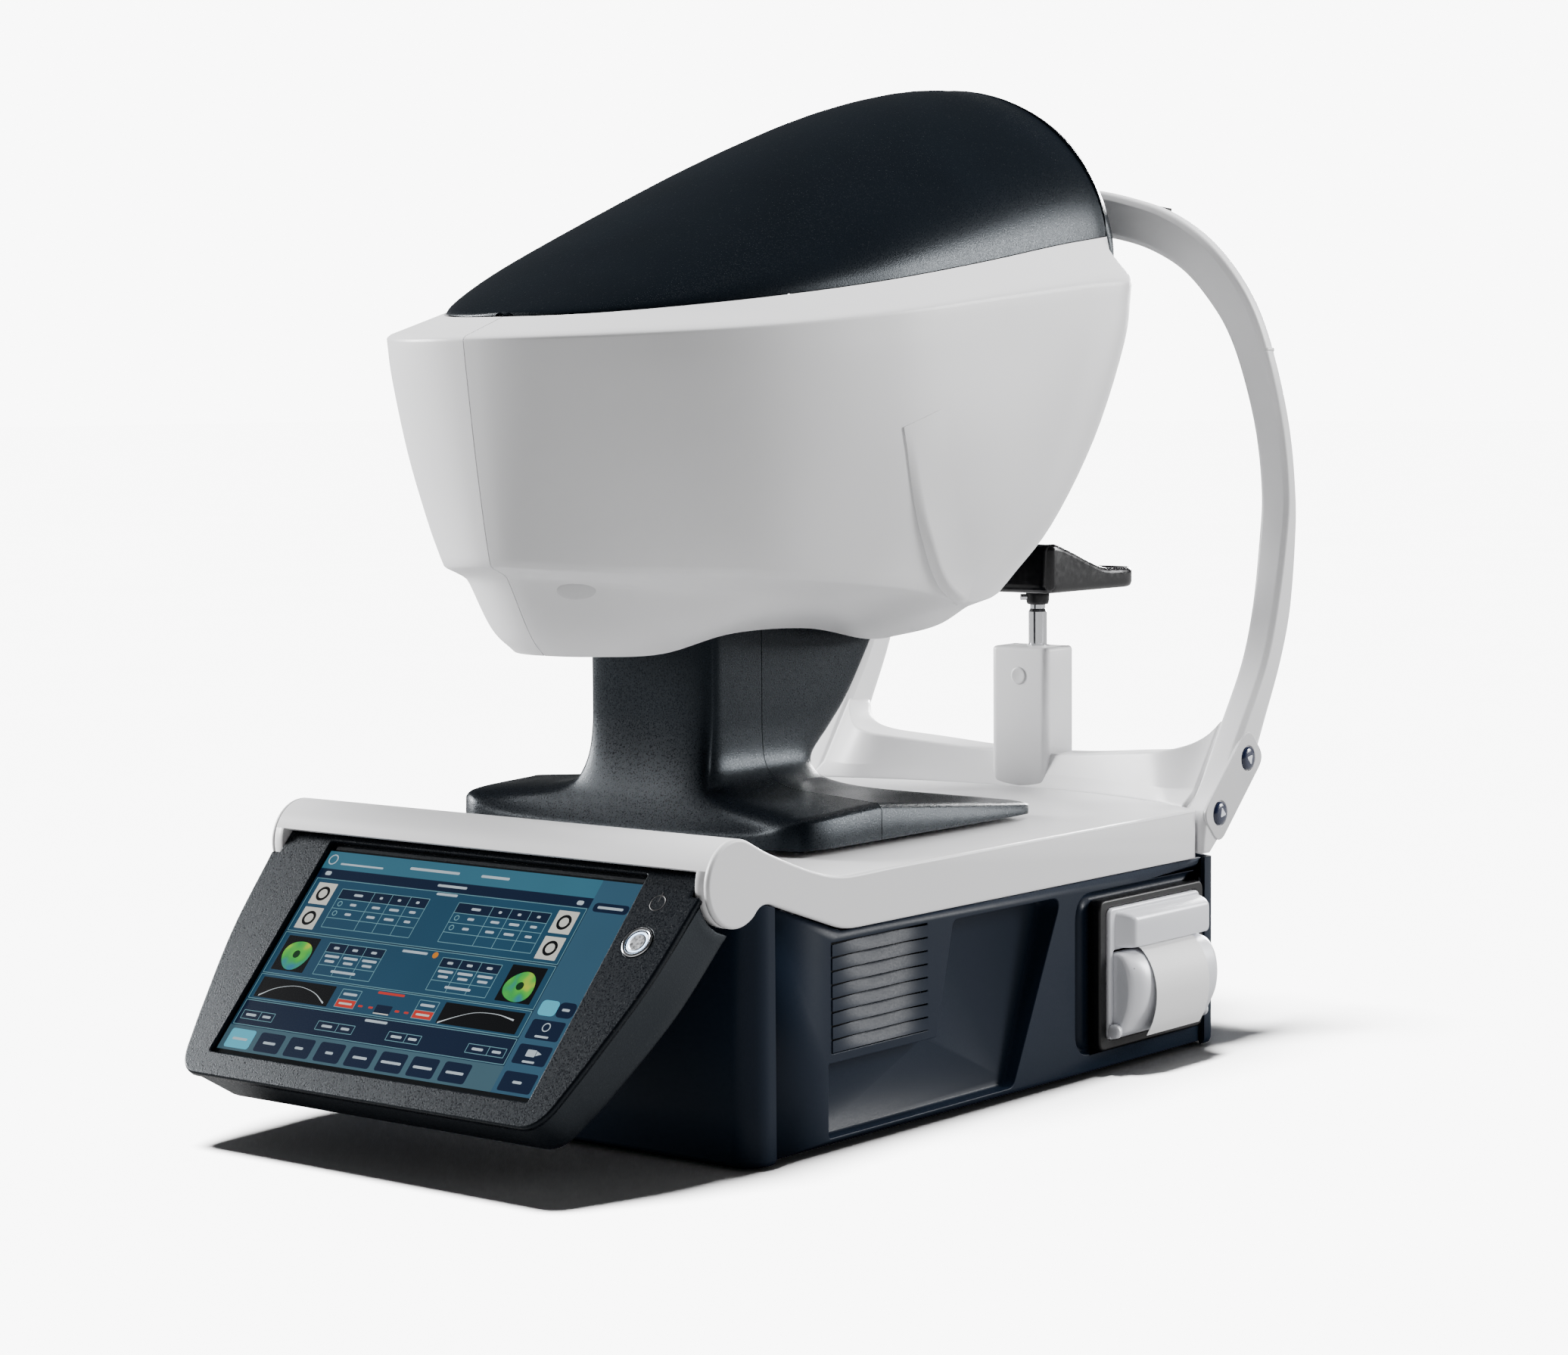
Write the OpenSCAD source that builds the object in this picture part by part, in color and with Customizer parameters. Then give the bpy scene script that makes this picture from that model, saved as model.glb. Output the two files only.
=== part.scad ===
// Desk-top autorefractor: a measuring head on a driven pedestal, a white base with a tilting screen,
// a receipt printer in its side, and a face frame with a motor-driven chin rest.
// +X is the printer side, -Y the operator's side, +Y the patient's side, +Z up.
// Inside the modules Y is measured from the axis of the round front edge, and datum() centres the whole.

/* [Base] */
// Half width of the white cover
cover_hw = 156; // [150:0.5:160]
// Height of the white cover's lower edge
skirt_z = 115.2; // [112:0.2:118]
// Height of the cover's flat top
deck_z = 143.5; // [142:0.1:145]
// Wall thickness of the moulded covers
wall = 3; // [2:0.25:4]
// Radius of the round front edge that carries the screen hinge
roll_r = 22.6; // [22:0.1:23]
// Height of the screen hinge axis
roll_z = 149.4; // [149:0.1:150]

/* [Screen] */
// Angle of the screen face from the horizontal
tilt = 47.9; // [40:0.1:55]
// Height of the bezel's face over the hinge axis
bezel_z = 16; // [15:0.1:17]

/* [Head] */
// Sideways place of the head and pedestal from the base's middle
head_x = -27; // [-40:0.5:0]
// Radius of the measuring window
window_r = 46; // [40:1:50]
// Height of the eye line
eye_z = 413; // [405:1:420]

/* [Chin rest] */
// Distance of the chin rod from the front edge's axis
chin_y = 492; // [490:0.5:494]
// Radius of the chin rod
rod_r = 5.8; // [5:0.1:6]
// Half width of the chin cup
cup_hw = 44; // [38:1:48]

/* [Printer] */
// Distance of the printer's middle from the front edge's axis
printer_y = 379; // [377:0.5:381]
// Radius of the paper roll
paper_r = 21; // [15:0.5:22]

/* [Hidden] */
$fn = 64;

y_mid = 212.6;            // middle of the whole, from the front edge's axis
x_mid = 0.9;              // middle of the base, from the middle of the whole
gap = 0.3;                // clearance between covers
big = 400;                // longer than anything that it cuts
arc_r = 324;              // plan radius of the base's rear edge
arc_y = 146;              // centre of that radius
base_hw = 153;
base_front = 13.5;
foot_h = 4;
rail_r = 6;
screw_r = 5;
run = 0.05;               // radial clearance of a running fit
y_rail_z = 56;
x_rail_z = 84;
stage_y = 215;            // middle of the moving stage
shaft_dx = 30;            // lift shafts either side of the head's middle
half_turn = 180;

// ---- general shapes -------------------------------------------------------------------------

module datum() translate([x_mid, -y_mid, 0]) children();
module head_frame() datum() translate([head_x, 0, 0]) children();
module both_sides() { children(); mirror([1, 0, 0]) children(); }

// a box from its lowest and highest corners
module span(a, b) translate(a) cube(b - a);

// a profile drawn in Y and Z, drawn out along X between two places
module along_x(x0, x1) translate([x0, 0, 0]) rotate([90, 0, 90]) linear_extrude(x1 - x0) children();

// a plate outline drawn in X and Z, drawn out along Y
module along_y(y0, y1) translate([0, y1, 0]) rotate([90, 0, 0]) linear_extrude(y1 - y0) children();

module rod_x(r, x0, x1) translate([x0, 0, 0]) rotate([0, 90, 0]) cylinder(r = r, h = x1 - x0);
module rod_y(r, y0, y1) translate([0, y1, 0]) rotate([90, 0, 0]) cylinder(r = r, h = y1 - y0);

module rounded(size, r) {
    hull() for (x = [-1, 1], y = [-1, 1])
        translate([x * (size[0] / 2 - r), y * (size[1] / 2 - r)]) circle(r, $fn = 32);
}

// ---- smooth skins ---------------------------------------------------------------------------

function blend(a, b, c, d, t) = 0.5 * (2 * b + (c - a) * t + (2 * a - 5 * b + 4 * c - d) * t * t
    + (3 * b - a - 3 * c + d) * t * t * t);
function mirrored(p) = [-p[0], p[1], p[2]];

// a smooth curve through control points, n steps between each two; an even curve starts square to X
function curve(p, n, even) = let (e = len(p) - 1,
    q = concat([even ? mirrored(p[1]) : 2 * p[0] - p[1]], p, [2 * p[e] - p[e - 1]]))
    concat([for (i = [1:e], k = [0:n - 1]) blend(q[i - 1], q[i], q[i + 1], q[i + 2], k / n)], [p[e]]);

function flat(rows) = [for (r = rows, p = r) p];
function lim(v, top) = max(0, min(top, v));

// the surface's normal at row i, column j of a grid of points
function normal(g, i, j) = let (u = g[lim(i + 1, len(g) - 1)][j] - g[lim(i - 1, len(g) - 1)][j],
    v = g[i][lim(j + 1, len(g[0]) - 1)] - g[i][lim(j - 1, len(g[0]) - 1)], n = cross(u, v))
    n / norm(n);

// the same grid one wall further in; a point on the middle plane stays on it
function inset(g, t) = [for (i = [0:len(g) - 1]) [for (j = [0:len(g[0]) - 1])
    let (n = normal(g, i, j), p = g[i][j] - t * n)
    [abs(g[i][j][0]) < 0.01 ? g[i][j][0] : max(p[0], 0.01), p[1], p[2]]]];

// a closed shell between two grids of equal size
module shell(outer, inner) {
    nr = len(outer);
    nc = len(outer[0]);
    m = nr * nc;
    top = [for (i = [0:nr - 2], j = [0:nc - 2]) let (a = i * nc + j)
        each [[a, a + 1, a + nc + 1], [a, a + nc + 1, a + nc]]];
    under = [for (f = top) [f[2] + m, f[1] + m, f[0] + m]];
    rim = concat([for (j = [0:nc - 2]) j + 1], [for (i = [0:nr - 1]) i * nc + nc - 1],
        [for (j = [nc - 2:-1:0]) (nr - 1) * nc + j], [for (i = [nr - 2:-1:0]) i * nc]);
    k = len(rim);
    edge = [for (i = [0:k - 1]) let (a = rim[i], b = rim[(i + 1) % k])
        if (a != b) each [[a, a + m, b + m], [a, b + m, b]]];
    polyhedron(concat(flat(outer), flat(inner)), concat(top, under, edge), convexity = 8);
}

// a solid ring through four-cornered sections that close on themselves
module ring_solid(s) {
    n = len(s);
    k = len(s[0]);
    faces = [for (i = [0:n - 1], j = [0:k - 1]) let (a = i * k + j, b = i * k + (j + 1) % k,
        c = ((i + 1) % n) * k + (j + 1) % k, d = ((i + 1) % n) * k + j) each [[a, b, c], [a, c, d]]];
    polyhedron(flat(s), faces, convexity = 8);
}

// a solid bar through sections, with flat ends
module bar_solid(s) {
    n = len(s);
    k = len(s[0]);
    faces = [for (i = [0:n - 2], j = [0:k - 1]) let (a = i * k + j, b = i * k + (j + 1) % k)
        each [[a, b, b + k], [a, b + k, a + k]]];
    polyhedron(flat(s), concat(faces, [[for (j = [k - 1:-1:0]) j], [for (j = [0:k - 1]) (n - 1) * k + j]]),
        convexity = 8);
}

// ---- base -----------------------------------------------------------------------------------

// the base's outline from above, moved in by t
module base_plan(t) {
    intersection() {
        translate([-base_hw + t, base_front + t]) square([2 * (base_hw - t), big * 2]);
        translate([0, 160]) circle(326 - t, $fn = 180);
        offset(r = 12) translate([-base_hw + t + 12, base_front + t + 12])
            square([2 * (base_hw - t - 12), big * 2]);
    }
}

// side outline of the base under the cover's edge, as high as the cover allows
module base_side(rise) {
    difference() {
        polygon([[0, foot_h], [500, foot_h], [500, skirt_z - 0.8 + rise], [89, skirt_z - 0.8 + rise],
            [22, 136.6 + rise], [0, 136.6 + rise]]);
        translate([0, roll_z]) circle(roll_r + 0.8 - rise / 3, $fn = 90);
    }
}

side_panel = [[77, 7], [244, 7], [292, 108], [188, 108], [172, 46], [77, 46]];
louvre_z = [58.3, 65.5, 72.7, 79.9, 87.1, 94.3, 101.5, 108.7];
panel_x = [-112, 42];      // pocket of the rear panel
panel_z = [16, 72];
panel_y = 455;

// pocket in each side wall, whose floor leans in towards the top; t is the wall behind it
module side_pocket(t) {
    intersection() {
        along_x(base_hw - 22, base_hw + 1) offset(delta = t) offset(r = 5, $fn = 32) offset(delta = -5)
            polygon(side_panel);
        along_y(0, 400) polygon([[base_hw - 6.45 - t, 0], [base_hw - 15.55 - t, 115], [base_hw + 5, 115],
            [base_hw + 5, 0]]);
    }
}

module base_housing() {
    color("#39414f") datum() difference() {
        union() {
            intersection() {
                translate([0, 0, foot_h]) linear_extrude(big) base_plan(0);
                along_x(-base_hw, base_hw) base_side(0);
            }
            // inner lip that the cover fits over
            intersection() {
                translate([0, 0, 100]) linear_extrude(big) intersection() {
                    base_plan(wall - 1.2);
                    cover_plan(wall + 0.3);
                }
                along_x(-base_hw, base_hw) intersection() {
                    base_side(3);
                    translate([60, 0]) square(big);
                }
            }
        }
        difference() {
            intersection() {
                translate([0, 0, foot_h + wall]) linear_extrude(big) base_plan(wall);
            }
            both_sides() side_pocket(2.4);
            // pocket for the rear panel
            span([panel_x[0], panel_y - wall, panel_z[0]], [panel_x[1], big * 2, panel_z[1]]);
        }
        span([panel_x[0] + 4, panel_y, panel_z[0] + 4], [panel_x[1] - 4, big * 2, panel_z[1] - 4]);
        span([panel_x[0] + 10, panel_y - 10, panel_z[0] + 8],
            [panel_x[1] - 10, panel_y + 10, panel_z[1] - 8]);
        both_sides() {
            side_pocket(0);
            for (z = louvre_z) span([base_hw - 5, 80, z - 1.3], [base_hw + 1, 164, z + 1.3]);
        }
        // opening for the printer
        span([base_hw - 5, 326, 17.5], [base_hw + 5, 431, 99.5]);
        for (x = [-130, 130], y = [45, 395]) translate([x, y, 0]) cylinder(r = 4, h = 20);
    }
}

module nose_outline() {
    circle(roll_r, $fn = 90);
    polygon([[0, roll_r], [22, 14.5], [50, 3.5], [70, -2.6], [88.7, -5.9], [130, -5.4], [500, -4.9],
        [500, skirt_z - roll_z], [88.7, skirt_z - roll_z], [21.3, -11.7], [0, 0]]);
}

module cover_side(t) translate([0, roll_z]) offset(delta = -t) nose_outline();

module cover_plan(t) {
    intersection() {
        translate([-cover_hw + t, -50]) square([2 * (cover_hw - t), 600]);
        translate([0, arc_y]) circle(arc_r - t, $fn = 180);
    }
}

ear = 9;

module top_cover() {
    color("#e4e5e6") datum() difference() {
        intersection() {
            along_x(-cover_hw, cover_hw) cover_side(0);
            translate([0, 0, 0]) linear_extrude(big) cover_plan(0);
        }
        difference() {
            intersection() {
                along_x(-cover_hw + wall, cover_hw - wall) union() {
                    cover_side(wall);
                    intersection() {
                        translate([23, 60]) square([big + 200, 80]);
                        translate([0, -8]) cover_side(wall);
                    }
                }
                linear_extrude(big) cover_plan(wall);
            }
            // the round ends of the front edge stay solid
            both_sides() span([cover_hw - ear, -50, 100], [cover_hw, 23, 180]);
        }
        // the front between the round ends, where the screen's arms come out
        intersection() {
            translate([0, 0, roll_z]) rod_x(roll_r + 10, -cover_hw + ear, cover_hw - ear, $fn = 90);
            along_x(-cover_hw + ear, cover_hw - ear) polygon([[0, roll_z], [-40, roll_z + 16.2],
                [-60, roll_z - 40], [-9, roll_z - 36]]);
        }
        both_sides() translate([0, 0, roll_z]) rod_x(5, 0, cover_hw - ear + 4);
        // opening that the pedestal's posts travel in
        span([-82, 144, 130], [82, 226, 160]);
    }
}

module rubber_feet() {
    color("#1b1c1e") datum() for (x = [-130, 130], y = [45, 395]) translate([x, y, 0]) {
        cylinder(r1 = 10, r2 = 11.5, h = foot_h);
        cylinder(r = 3.9, h = foot_h + wall);
    }
}

module chassis_plate() {
    color("#9aa0a6") datum() {
        difference() {
            span([-141.4, 22, 7], [141.4, 428, 9.5]);
            for (x = [-110, -40, 40, 110], y = [90, 260]) translate([x, y, 0]) cylinder(r = 6, h = 20);
            span([98, 320, 0], [150, 436, 20]);
        }
        for (y = [104, 296]) {
            both_sides() difference() {
                span([86, y, 9.5], [104, y + 8, 65]);
                translate([95, 0, y_rail_z]) rod_y(rail_r, 0, 500);
            }
            difference() {
                span([-13, y, 9.5], [13, y + 8, 68]);
                translate([0, 0, y_rail_z]) rod_y(screw_r + run, 0, 500);
            }
        }
        span([-18, 50, 9.5], [18, 84, 41.5]);
    }
}

module power_inlet() {
    color("#17181a") datum() translate([-84, 0, 43]) {
        difference() {
            union() {
                span([-13.5, 430, -10], [13.5, panel_y - 3.1, 10]);
                span([-18, panel_y, -13], [18, panel_y + 3, 13]);
                span([-13.5, panel_y - 3.2, -10], [13.5, panel_y + 1, 10]);
            }
            span([-11, 436, -7.5], [11, 500, 7.5]);
        }
        for (x = [-6, 0, 6]) span([x - 1, 434, -2], [x + 1, 452, 2]);
    }
}

module rear_panel() {
    color("#2b3038") datum() difference() {
        span([panel_x[0] + 1, panel_y - 6.2, panel_z[0] + 1],
            [panel_x[1] - 1, panel_y - 3.2, panel_z[1] - 1]);
        translate([-84, 0, 43]) span([-13.7, 400, -10.2], [13.7, 500, 10.2]);
        // seats of the sockets
        span([-50, panel_y - 4.6, 36], [-35, 500, 43]);
        span([-25, panel_y - 4.6, 36], [-12, 500, 49]);
        span([0, panel_y - 4.6, 36], [28, 500, 46]);
    }
}

module power_supply() {
    color("#b9bcc0") datum() difference() {
        span([-20, 312, 9.5], [70, 420, 48]);
        span([-18.5, 313.5, 11], [68.5, 418.5, 46.5]);
        for (y = [330:8:402]) span([-10, y, 40], [60, y + 4, 60]);
    }
}

module main_board() {
    color("#1f5a3c") datum() {
        span([-140, 312, 16], [-35, 420, 17.6]);
        for (x = [-136, -39], y = [316, 416]) translate([x, y, 9.5]) cylinder(r = 3, h = 7);
        span([-120, 330, 17.6], [-96, 354, 20]);
        span([-84, 332, 17.6], [-68, 348, 19.4]);
        span([-60, 320, 17.6], [-42, 380, 27]);
        span([-130, 372, 17.6], [-84, 382, 26]);
        for (x = [-118, -106, -94]) translate([x, 400, 17.6]) cylinder(r = 4.5, h = 14);
    }
}

fan_yz = [114, 80];
fan_r = 25;

module fan_frame() {
    color("#232428") datum() translate([0, fan_yz[0], fan_yz[1]]) {
        difference() {
            span([-149.5, -28, -28], [-134.5, 28, 28]);
            rod_x(fan_r, -150, -134);
            for (y = [-24, 24], z = [-24, 24]) translate([0, y, z]) rod_x(2, -150, -134);
        }
        difference() {
            union() {
                rod_x(8, -136.5, -134.5);
                for (a = [45, 135]) rotate([a, 0, 0])
                    span([-136.5, -fan_r - 1, -1.5], [-134.5, fan_r + 1, 1.5]);
            }
            rod_x(2 + run, -137.5, -133.5);
        }
    }
}

module fan_rotor() {
    color("#34363b") datum() translate([0, fan_yz[0], fan_yz[1]]) {
        rod_x(9, -148, -137.5);
        rod_x(2, -138, -134.5);
        for (i = [0:6]) rotate([i * 360 / 7, 0, 0]) translate([-142.7, 0, 0]) rotate([0, 0, 0])
            translate([0, 0, 8]) rotate([0, 0, 35]) span([-6, -0.7, 0], [6, 0.7, fan_r - 9.2]);
    }
}

module hinge_shaft() {
    color("#c9ccd0") datum() translate([0, 0, roll_z]) rod_x(5, -cover_hw + ear - 3, cover_hw - ear + 3);
}

// ---- stage that carries the head ------------------------------------------------------------

stage_mid = 200;          // shafts and screws stand here, from the front edge's axis
guide_dy = 20;

module y_rails() {
    color("#c9ccd0") datum() both_sides() translate([95, 0, y_rail_z]) rod_y(rail_r, 104, 304);
}

module y_screw() {
    color("#b0b4b8") datum() translate([0, 0, y_rail_z]) rod_y(screw_r, 85, 304);
}

module y_motor() {
    color("#4a4d52") datum() {
        span([-15, 52, 41.5], [15, 84, 71.5]);
        translate([0, 0, y_rail_z]) rod_y(9, 84, 84.8);
    }
}

module y_carriage() {
    color("#7d8288") datum() {
        span([-116, stage_mid - 34, 64.5], [116, stage_mid + 34, 70]);
        both_sides() difference() {
            union() {
                span([83, stage_mid - 30, 46], [107, stage_mid + 30, 64.5]);
                span([108, stage_mid - 34, 70], [116, stage_mid + 34, 95]);
            }
            translate([95, 0, y_rail_z]) rod_y(rail_r + run, 0, 500);
            for (s = [-guide_dy, guide_dy]) translate([0, stage_mid + s, x_rail_z]) rod_x(rail_r, 100, 200);
            translate([0, stage_mid, x_rail_z]) rod_x(screw_r + run, 100, 200);
        }
        difference() {
            span([-12, stage_mid - 12, 46], [12, stage_mid + 12, 64.5]);
            translate([0, 0, y_rail_z]) rod_y(screw_r + run, 0, 500);
        }
    }
}

module x_rails() {
    color("#c9ccd0") datum() for (s = [-guide_dy, guide_dy]) translate([0, stage_mid + s, x_rail_z])
        rod_x(rail_r, -116, 116);
}

module x_screw() {
    color("#b0b4b8") datum() translate([0, stage_mid, x_rail_z]) rod_x(screw_r, -117, 116);
}

module x_motor() {
    color("#4a4d52") datum() translate([0, stage_mid, x_rail_z]) span([-134.6, -14, -14], [-117.4, 14, 14]);
}

post_r = 9;

module x_carriage() {
    color("#7d8288") head_frame() {
        difference() {
            span([-39, stage_mid - 33, 74], [39, stage_mid + 33, 94]);
            for (s = [-guide_dy, guide_dy]) translate([0, stage_mid + s, x_rail_z])
                rod_x(rail_r + run, -60, 60);
            translate([0, stage_mid, x_rail_z]) rod_x(screw_r + run, -60, 60);
        }
        difference() {
            union() {
                both_sides() translate([shaft_dx, stage_mid, 94]) cylinder(r = post_r, h = 62);
                span([-60, 160, 150], [60, 232, 156]);
            }
            both_sides() translate([shaft_dx, stage_mid, 90]) cylinder(r = rail_r, h = 80);
            translate([0, stage_mid, 140]) cylinder(r = screw_r + 1, h = 30);
        }
    }
}

module lift_shafts() {
    color("#c9ccd0") head_frame() both_sides() translate([shaft_dx, stage_mid, 94])
        cylinder(r = rail_r, h = 246);
}

module lift_motor() {
    color("#4a4d52") head_frame() span([-15, stage_mid - 15, 94], [15, stage_mid + 15, 132]);
}

module lift_screw() {
    color("#b0b4b8") head_frame() translate([0, stage_mid, 132.4]) cylinder(r = screw_r, h = 200);
}

// Rows of the pedestal's skin, each from the middle round to the side seam.
front_rows = [
    [[0, 122, 147.5], [90, 122.4, 147.5], [118, 125.5, 147.5], [126, 140, 147.5], [127, 190.7, 147.5]],
    [[0, 122, 161.3], [90, 122.4, 161.5], [118, 125.5, 161.8], [126, 140, 162.5], [127, 190.7, 165]],
    [[0, 131, 168], [56, 132, 168], [76, 136, 167.5], [88, 150, 167.5], [90, 190.7, 168.3]],
    [[0, 138, 177], [37, 139, 176], [46, 144, 173.5], [50, 158, 171], [50, 190.7, 171]],
    [[0, 144, 190], [36, 144.6, 190], [42, 149, 188], [43, 160, 184], [43, 190.7, 182]],
    [[0, 147, 222], [36, 147.5, 222], [42, 151.5, 222], [43, 162, 222], [43, 190.7, 222]],
    [[0, 147, 268], [36, 147.5, 268], [42, 151.5, 268], [43, 162, 268], [43, 190.7, 268]]];
rear_rows = [
    [[0, 342, 147.5], [95, 341.8, 147.5], [120, 337, 147.5], [126.5, 318, 147.5], [127, 191.3, 147.5]],
    [[0, 342, 151.5], [95, 341.8, 151.5], [120, 337, 151.8], [126.5, 318, 153], [127, 191.3, 165]],
    [[0, 285, 160], [56, 284, 160], [76, 278, 160.5], [88, 260, 162.5], [90, 191.3, 168.3]],
    [[0, 245, 169], [34, 244, 169], [44, 238, 169.5], [50, 226, 170], [50, 191.3, 171]],
    [[0, 244, 184], [32, 243.4, 184], [40, 239, 184], [43, 228, 183], [43, 191.3, 182]],
    [[0, 281, 222], [32, 280.4, 222], [40, 275, 222], [43, 262, 222], [43, 191.3, 222]],
    [[0, 312, 266], [32, 311.4, 266], [40, 306, 266], [43, 292, 267], [43, 191.3, 268]]];

// both halves of each row, turned so that the skin faces out
function whole(row, way) = let (r = [for (i = [len(row) - 1:-1:1]) mirrored(row[i])],
    full = concat(r, row), e = len(full) - 1) way > 0 ? full : [for (i = [e:-1:0]) full[i]];
function skin(rows, way) = let (cols = [for (r = rows) curve(r, 2, true)],
    full = [for (r = cols) whole(r, way)], n = len(full[0]) - 1,
    across = [for (j = [0:n]) curve([for (r = full) r[j]], 2, false)],
    k = len(across[0]) - 1) [for (i = [0:k]) [for (j = [0:n]) across[j][i]]];
function thin(g, t) = [for (i = [0:len(g) - 1]) [for (j = [0:len(g[0]) - 1])
    g[i][j] - t * normal(g, i, j)]];

module pedestal_front_cover() {
    g = skin(front_rows, 1);
    color("#25282d") head_frame() shell(g, thin(g, 2.4));
}

module pedestal_rear_cover() {
    g = skin(rear_rows, -1);
    color("#25282d") head_frame() shell(g, thin(g, 2.4));
}

// ---- head -----------------------------------------------------------------------------------

// Rows of a half head's skin from the roof's edge down to the rim of its underside opening.
head_rows = [
    [[0, 31, 434.5], [58, 48, 436], [104, 112, 443], [121, 200, 453], [124, 290, 465], [124, 370, 477],
        [123, 410, 482], [121, 427.5, 484]],
    [[0, 0, 423.4], [75, 22, 424.5], [128, 88, 429], [149, 180, 437], [151, 280, 447], [151, 365, 455],
        [149, 412, 458], [124, 431, 462]],
    [[0, 3, 400], [75, 26, 401], [129, 92, 405], [149, 180, 410], [151, 280, 415], [151, 360, 419],
        [149, 403, 420], [122, 428, 421]],
    [[0, 8.2, 362], [71, 33, 361], [125, 98, 360], [147, 180, 360], [151, 270, 360], [150, 330, 362],
        [147, 374, 364], [118, 396, 364]],
    [[0, 14, 326], [65, 41, 324], [117, 103, 321], [140, 180, 318], [148, 250, 316], [148, 300, 316],
        [144, 335, 316], [109, 355, 314]],
    [[0, 18.6, 302], [59, 46, 299], [109, 106, 296], [132, 170, 290], [138, 222, 283], [141, 256, 276],
        [134, 296, 278], [101, 326, 286]],
    [[0, 31, 296.5], [45, 50, 294], [80, 90, 289], [112, 152, 284], [118, 205, 279], [122, 250, 270],
        [112, 300, 271], [85, 332, 279]],
    [[0, 49, 264], [38, 62, 264], [70, 96, 267], [96, 145, 275], [98, 205, 270], [94, 250, 259],
        [88, 300, 258], [64, 338, 266]],
    [[0, 60, 252], [30, 70, 252], [52, 98, 253], [66, 140, 262], [67, 205, 261], [67, 258, 252],
        [58, 300, 251], [46, 330, 256]]];

// rows follow curves along the head and down it
function net(rows, n, m, even) = let (a = [for (r = rows) curve(r, n, even)], c = len(a[0]) - 1,
    b = [for (j = [0:c]) curve([for (r = a) r[j]], m, false)], k = len(b[0]) - 1)
    [for (i = [0:k]) [for (j = [0:c]) b[j][i]]];

module head_half() {
    g = net(head_rows, 3, 2, true);
    shell(g, inset(g, 2.6));
}

module head_right_shell() {
    color("#e6e7e8") head_frame() difference() {
        translate([0.15, 0, 0]) head_half();
        plug_place() linear_extrude(16, center = true) plug_outline(0.2);
    }
}

module head_left_shell() {
    color("#e6e7e8") head_frame() mirror([1, 0, 0]) translate([0.15, 0, 0]) head_half();
}

// height of the roof's ridge along the head
ridge = [[30, 436.5], [50, 446], [80, 460], [120, 479], [190, 510], [260, 538], [330, 561], [390, 574],
    [430, 577]];
arc_n = 24;
roof_edge = curve([for (i = [0:7]) head_rows[0][i]], 2, true);

function arch_row(a, y, z, top, t) = [for (j = [0:arc_n]) let (q = j * half_turn / arc_n, v = max(sin(q), 0))
    [(a - t) * cos(q), y, z + (top - z) * pow(v, 1.18) - t * v]];
function roof(t) = [for (i = [1:len(roof_edge) - 1]) let (p = roof_edge[i])
    arch_row(p[0] - 0.6, p[1] + 0.6, p[2] + 0.7, lookup(p[1], ridge), min(1, 0.2 * i) * t)];

module head_top_cover() {
    color("#202327") head_frame() shell(roof(0), roof(2.4));
}

// Rows of the rear cover: half width, edge Y and Z, middle Y and Z, way in at the middle.
mask_rows = [[120.6, 428.4, 484.7, 428.6, 577, 0, -1], [122.2, 430.4, 474, 441, 574, -0.5, -0.87],
    [123.3, 431.7, 464, 450, 561, -0.83, -0.55], [123.3, 431.6, 450, 455, 536, -0.98, -0.2],
    [122.6, 430, 434, 459, 495, -1, 0], [121.2, 426, 412, 460.5, 440, -1, 0],
    [119.3, 412, 386, 458, 390, -0.98, 0.2], [114.6, 381, 343, 447, 346, -0.87, 0.5],
    [109, 358.2, 315, 425, 306, -0.64, 0.77], [101.2, 329.5, 287.6, 392, 276, -0.45, 0.9],
    [64.5, 341.6, 267, 360, 258, -0.36, 0.93]];
function mask(t) = net([for (r = mask_rows) [for (j = [0:8]) let (q = j * half_turn / 8, v = max(sin(q), 0))
    [(r[0] - t) * cos(q), r[1] + (r[3] - r[1] + t * r[5]) * v,
    r[2] + (r[4] - r[2]) * pow(v, 1.1) + t * r[6] * v]]], 3, 2, false);

module head_rear_cover() {
    color("#202327") head_frame() difference() {
        shell(mask(0), mask(2.4));
        translate([0, 0, eye_z]) rod_y(window_r + 1.5, 430, 480);
    }
}

// where an oval plug closes a screw hole under the head's front
module plug_place() {
    n = [0.467, -0.773, -0.429];
    u = [0.856, 0.517, 0];
    v = cross(n, u);
    multmatrix([[u[0], v[0], n[0], 34.9], [u[1], v[1], n[1], 48.6], [u[2], v[2], n[2], 289.7], [0, 0, 0, 1]])
        children();
}

module plug_outline(t) scale([1, 0.54]) circle(11.8 + t);

module head_plug() {
    color("#b9bcbf") head_frame() plug_place() {
        translate([0, 0, -2.2]) linear_extrude(2.4) plug_outline(0);
        translate([0, 0, 0.1]) linear_extrude(0.9) plug_outline(-0.8);
    }
}

window_y = 453;

module window_glass() {
    color("#12161c") head_frame() translate([0, 0, eye_z]) rod_y(window_r, window_y - 0.6, window_y + 2);
}

module ring_target() {
    color("#d9dadb") head_frame() translate([0, 0, eye_z]) difference() {
        rod_y(window_r + 1, window_y - 16, window_y - 0.9);
        rod_y(window_r - 3, window_y - 11, window_y);
        rod_y(14, window_y - 20, window_y);
    }
}

barrel_y = 190;

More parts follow.
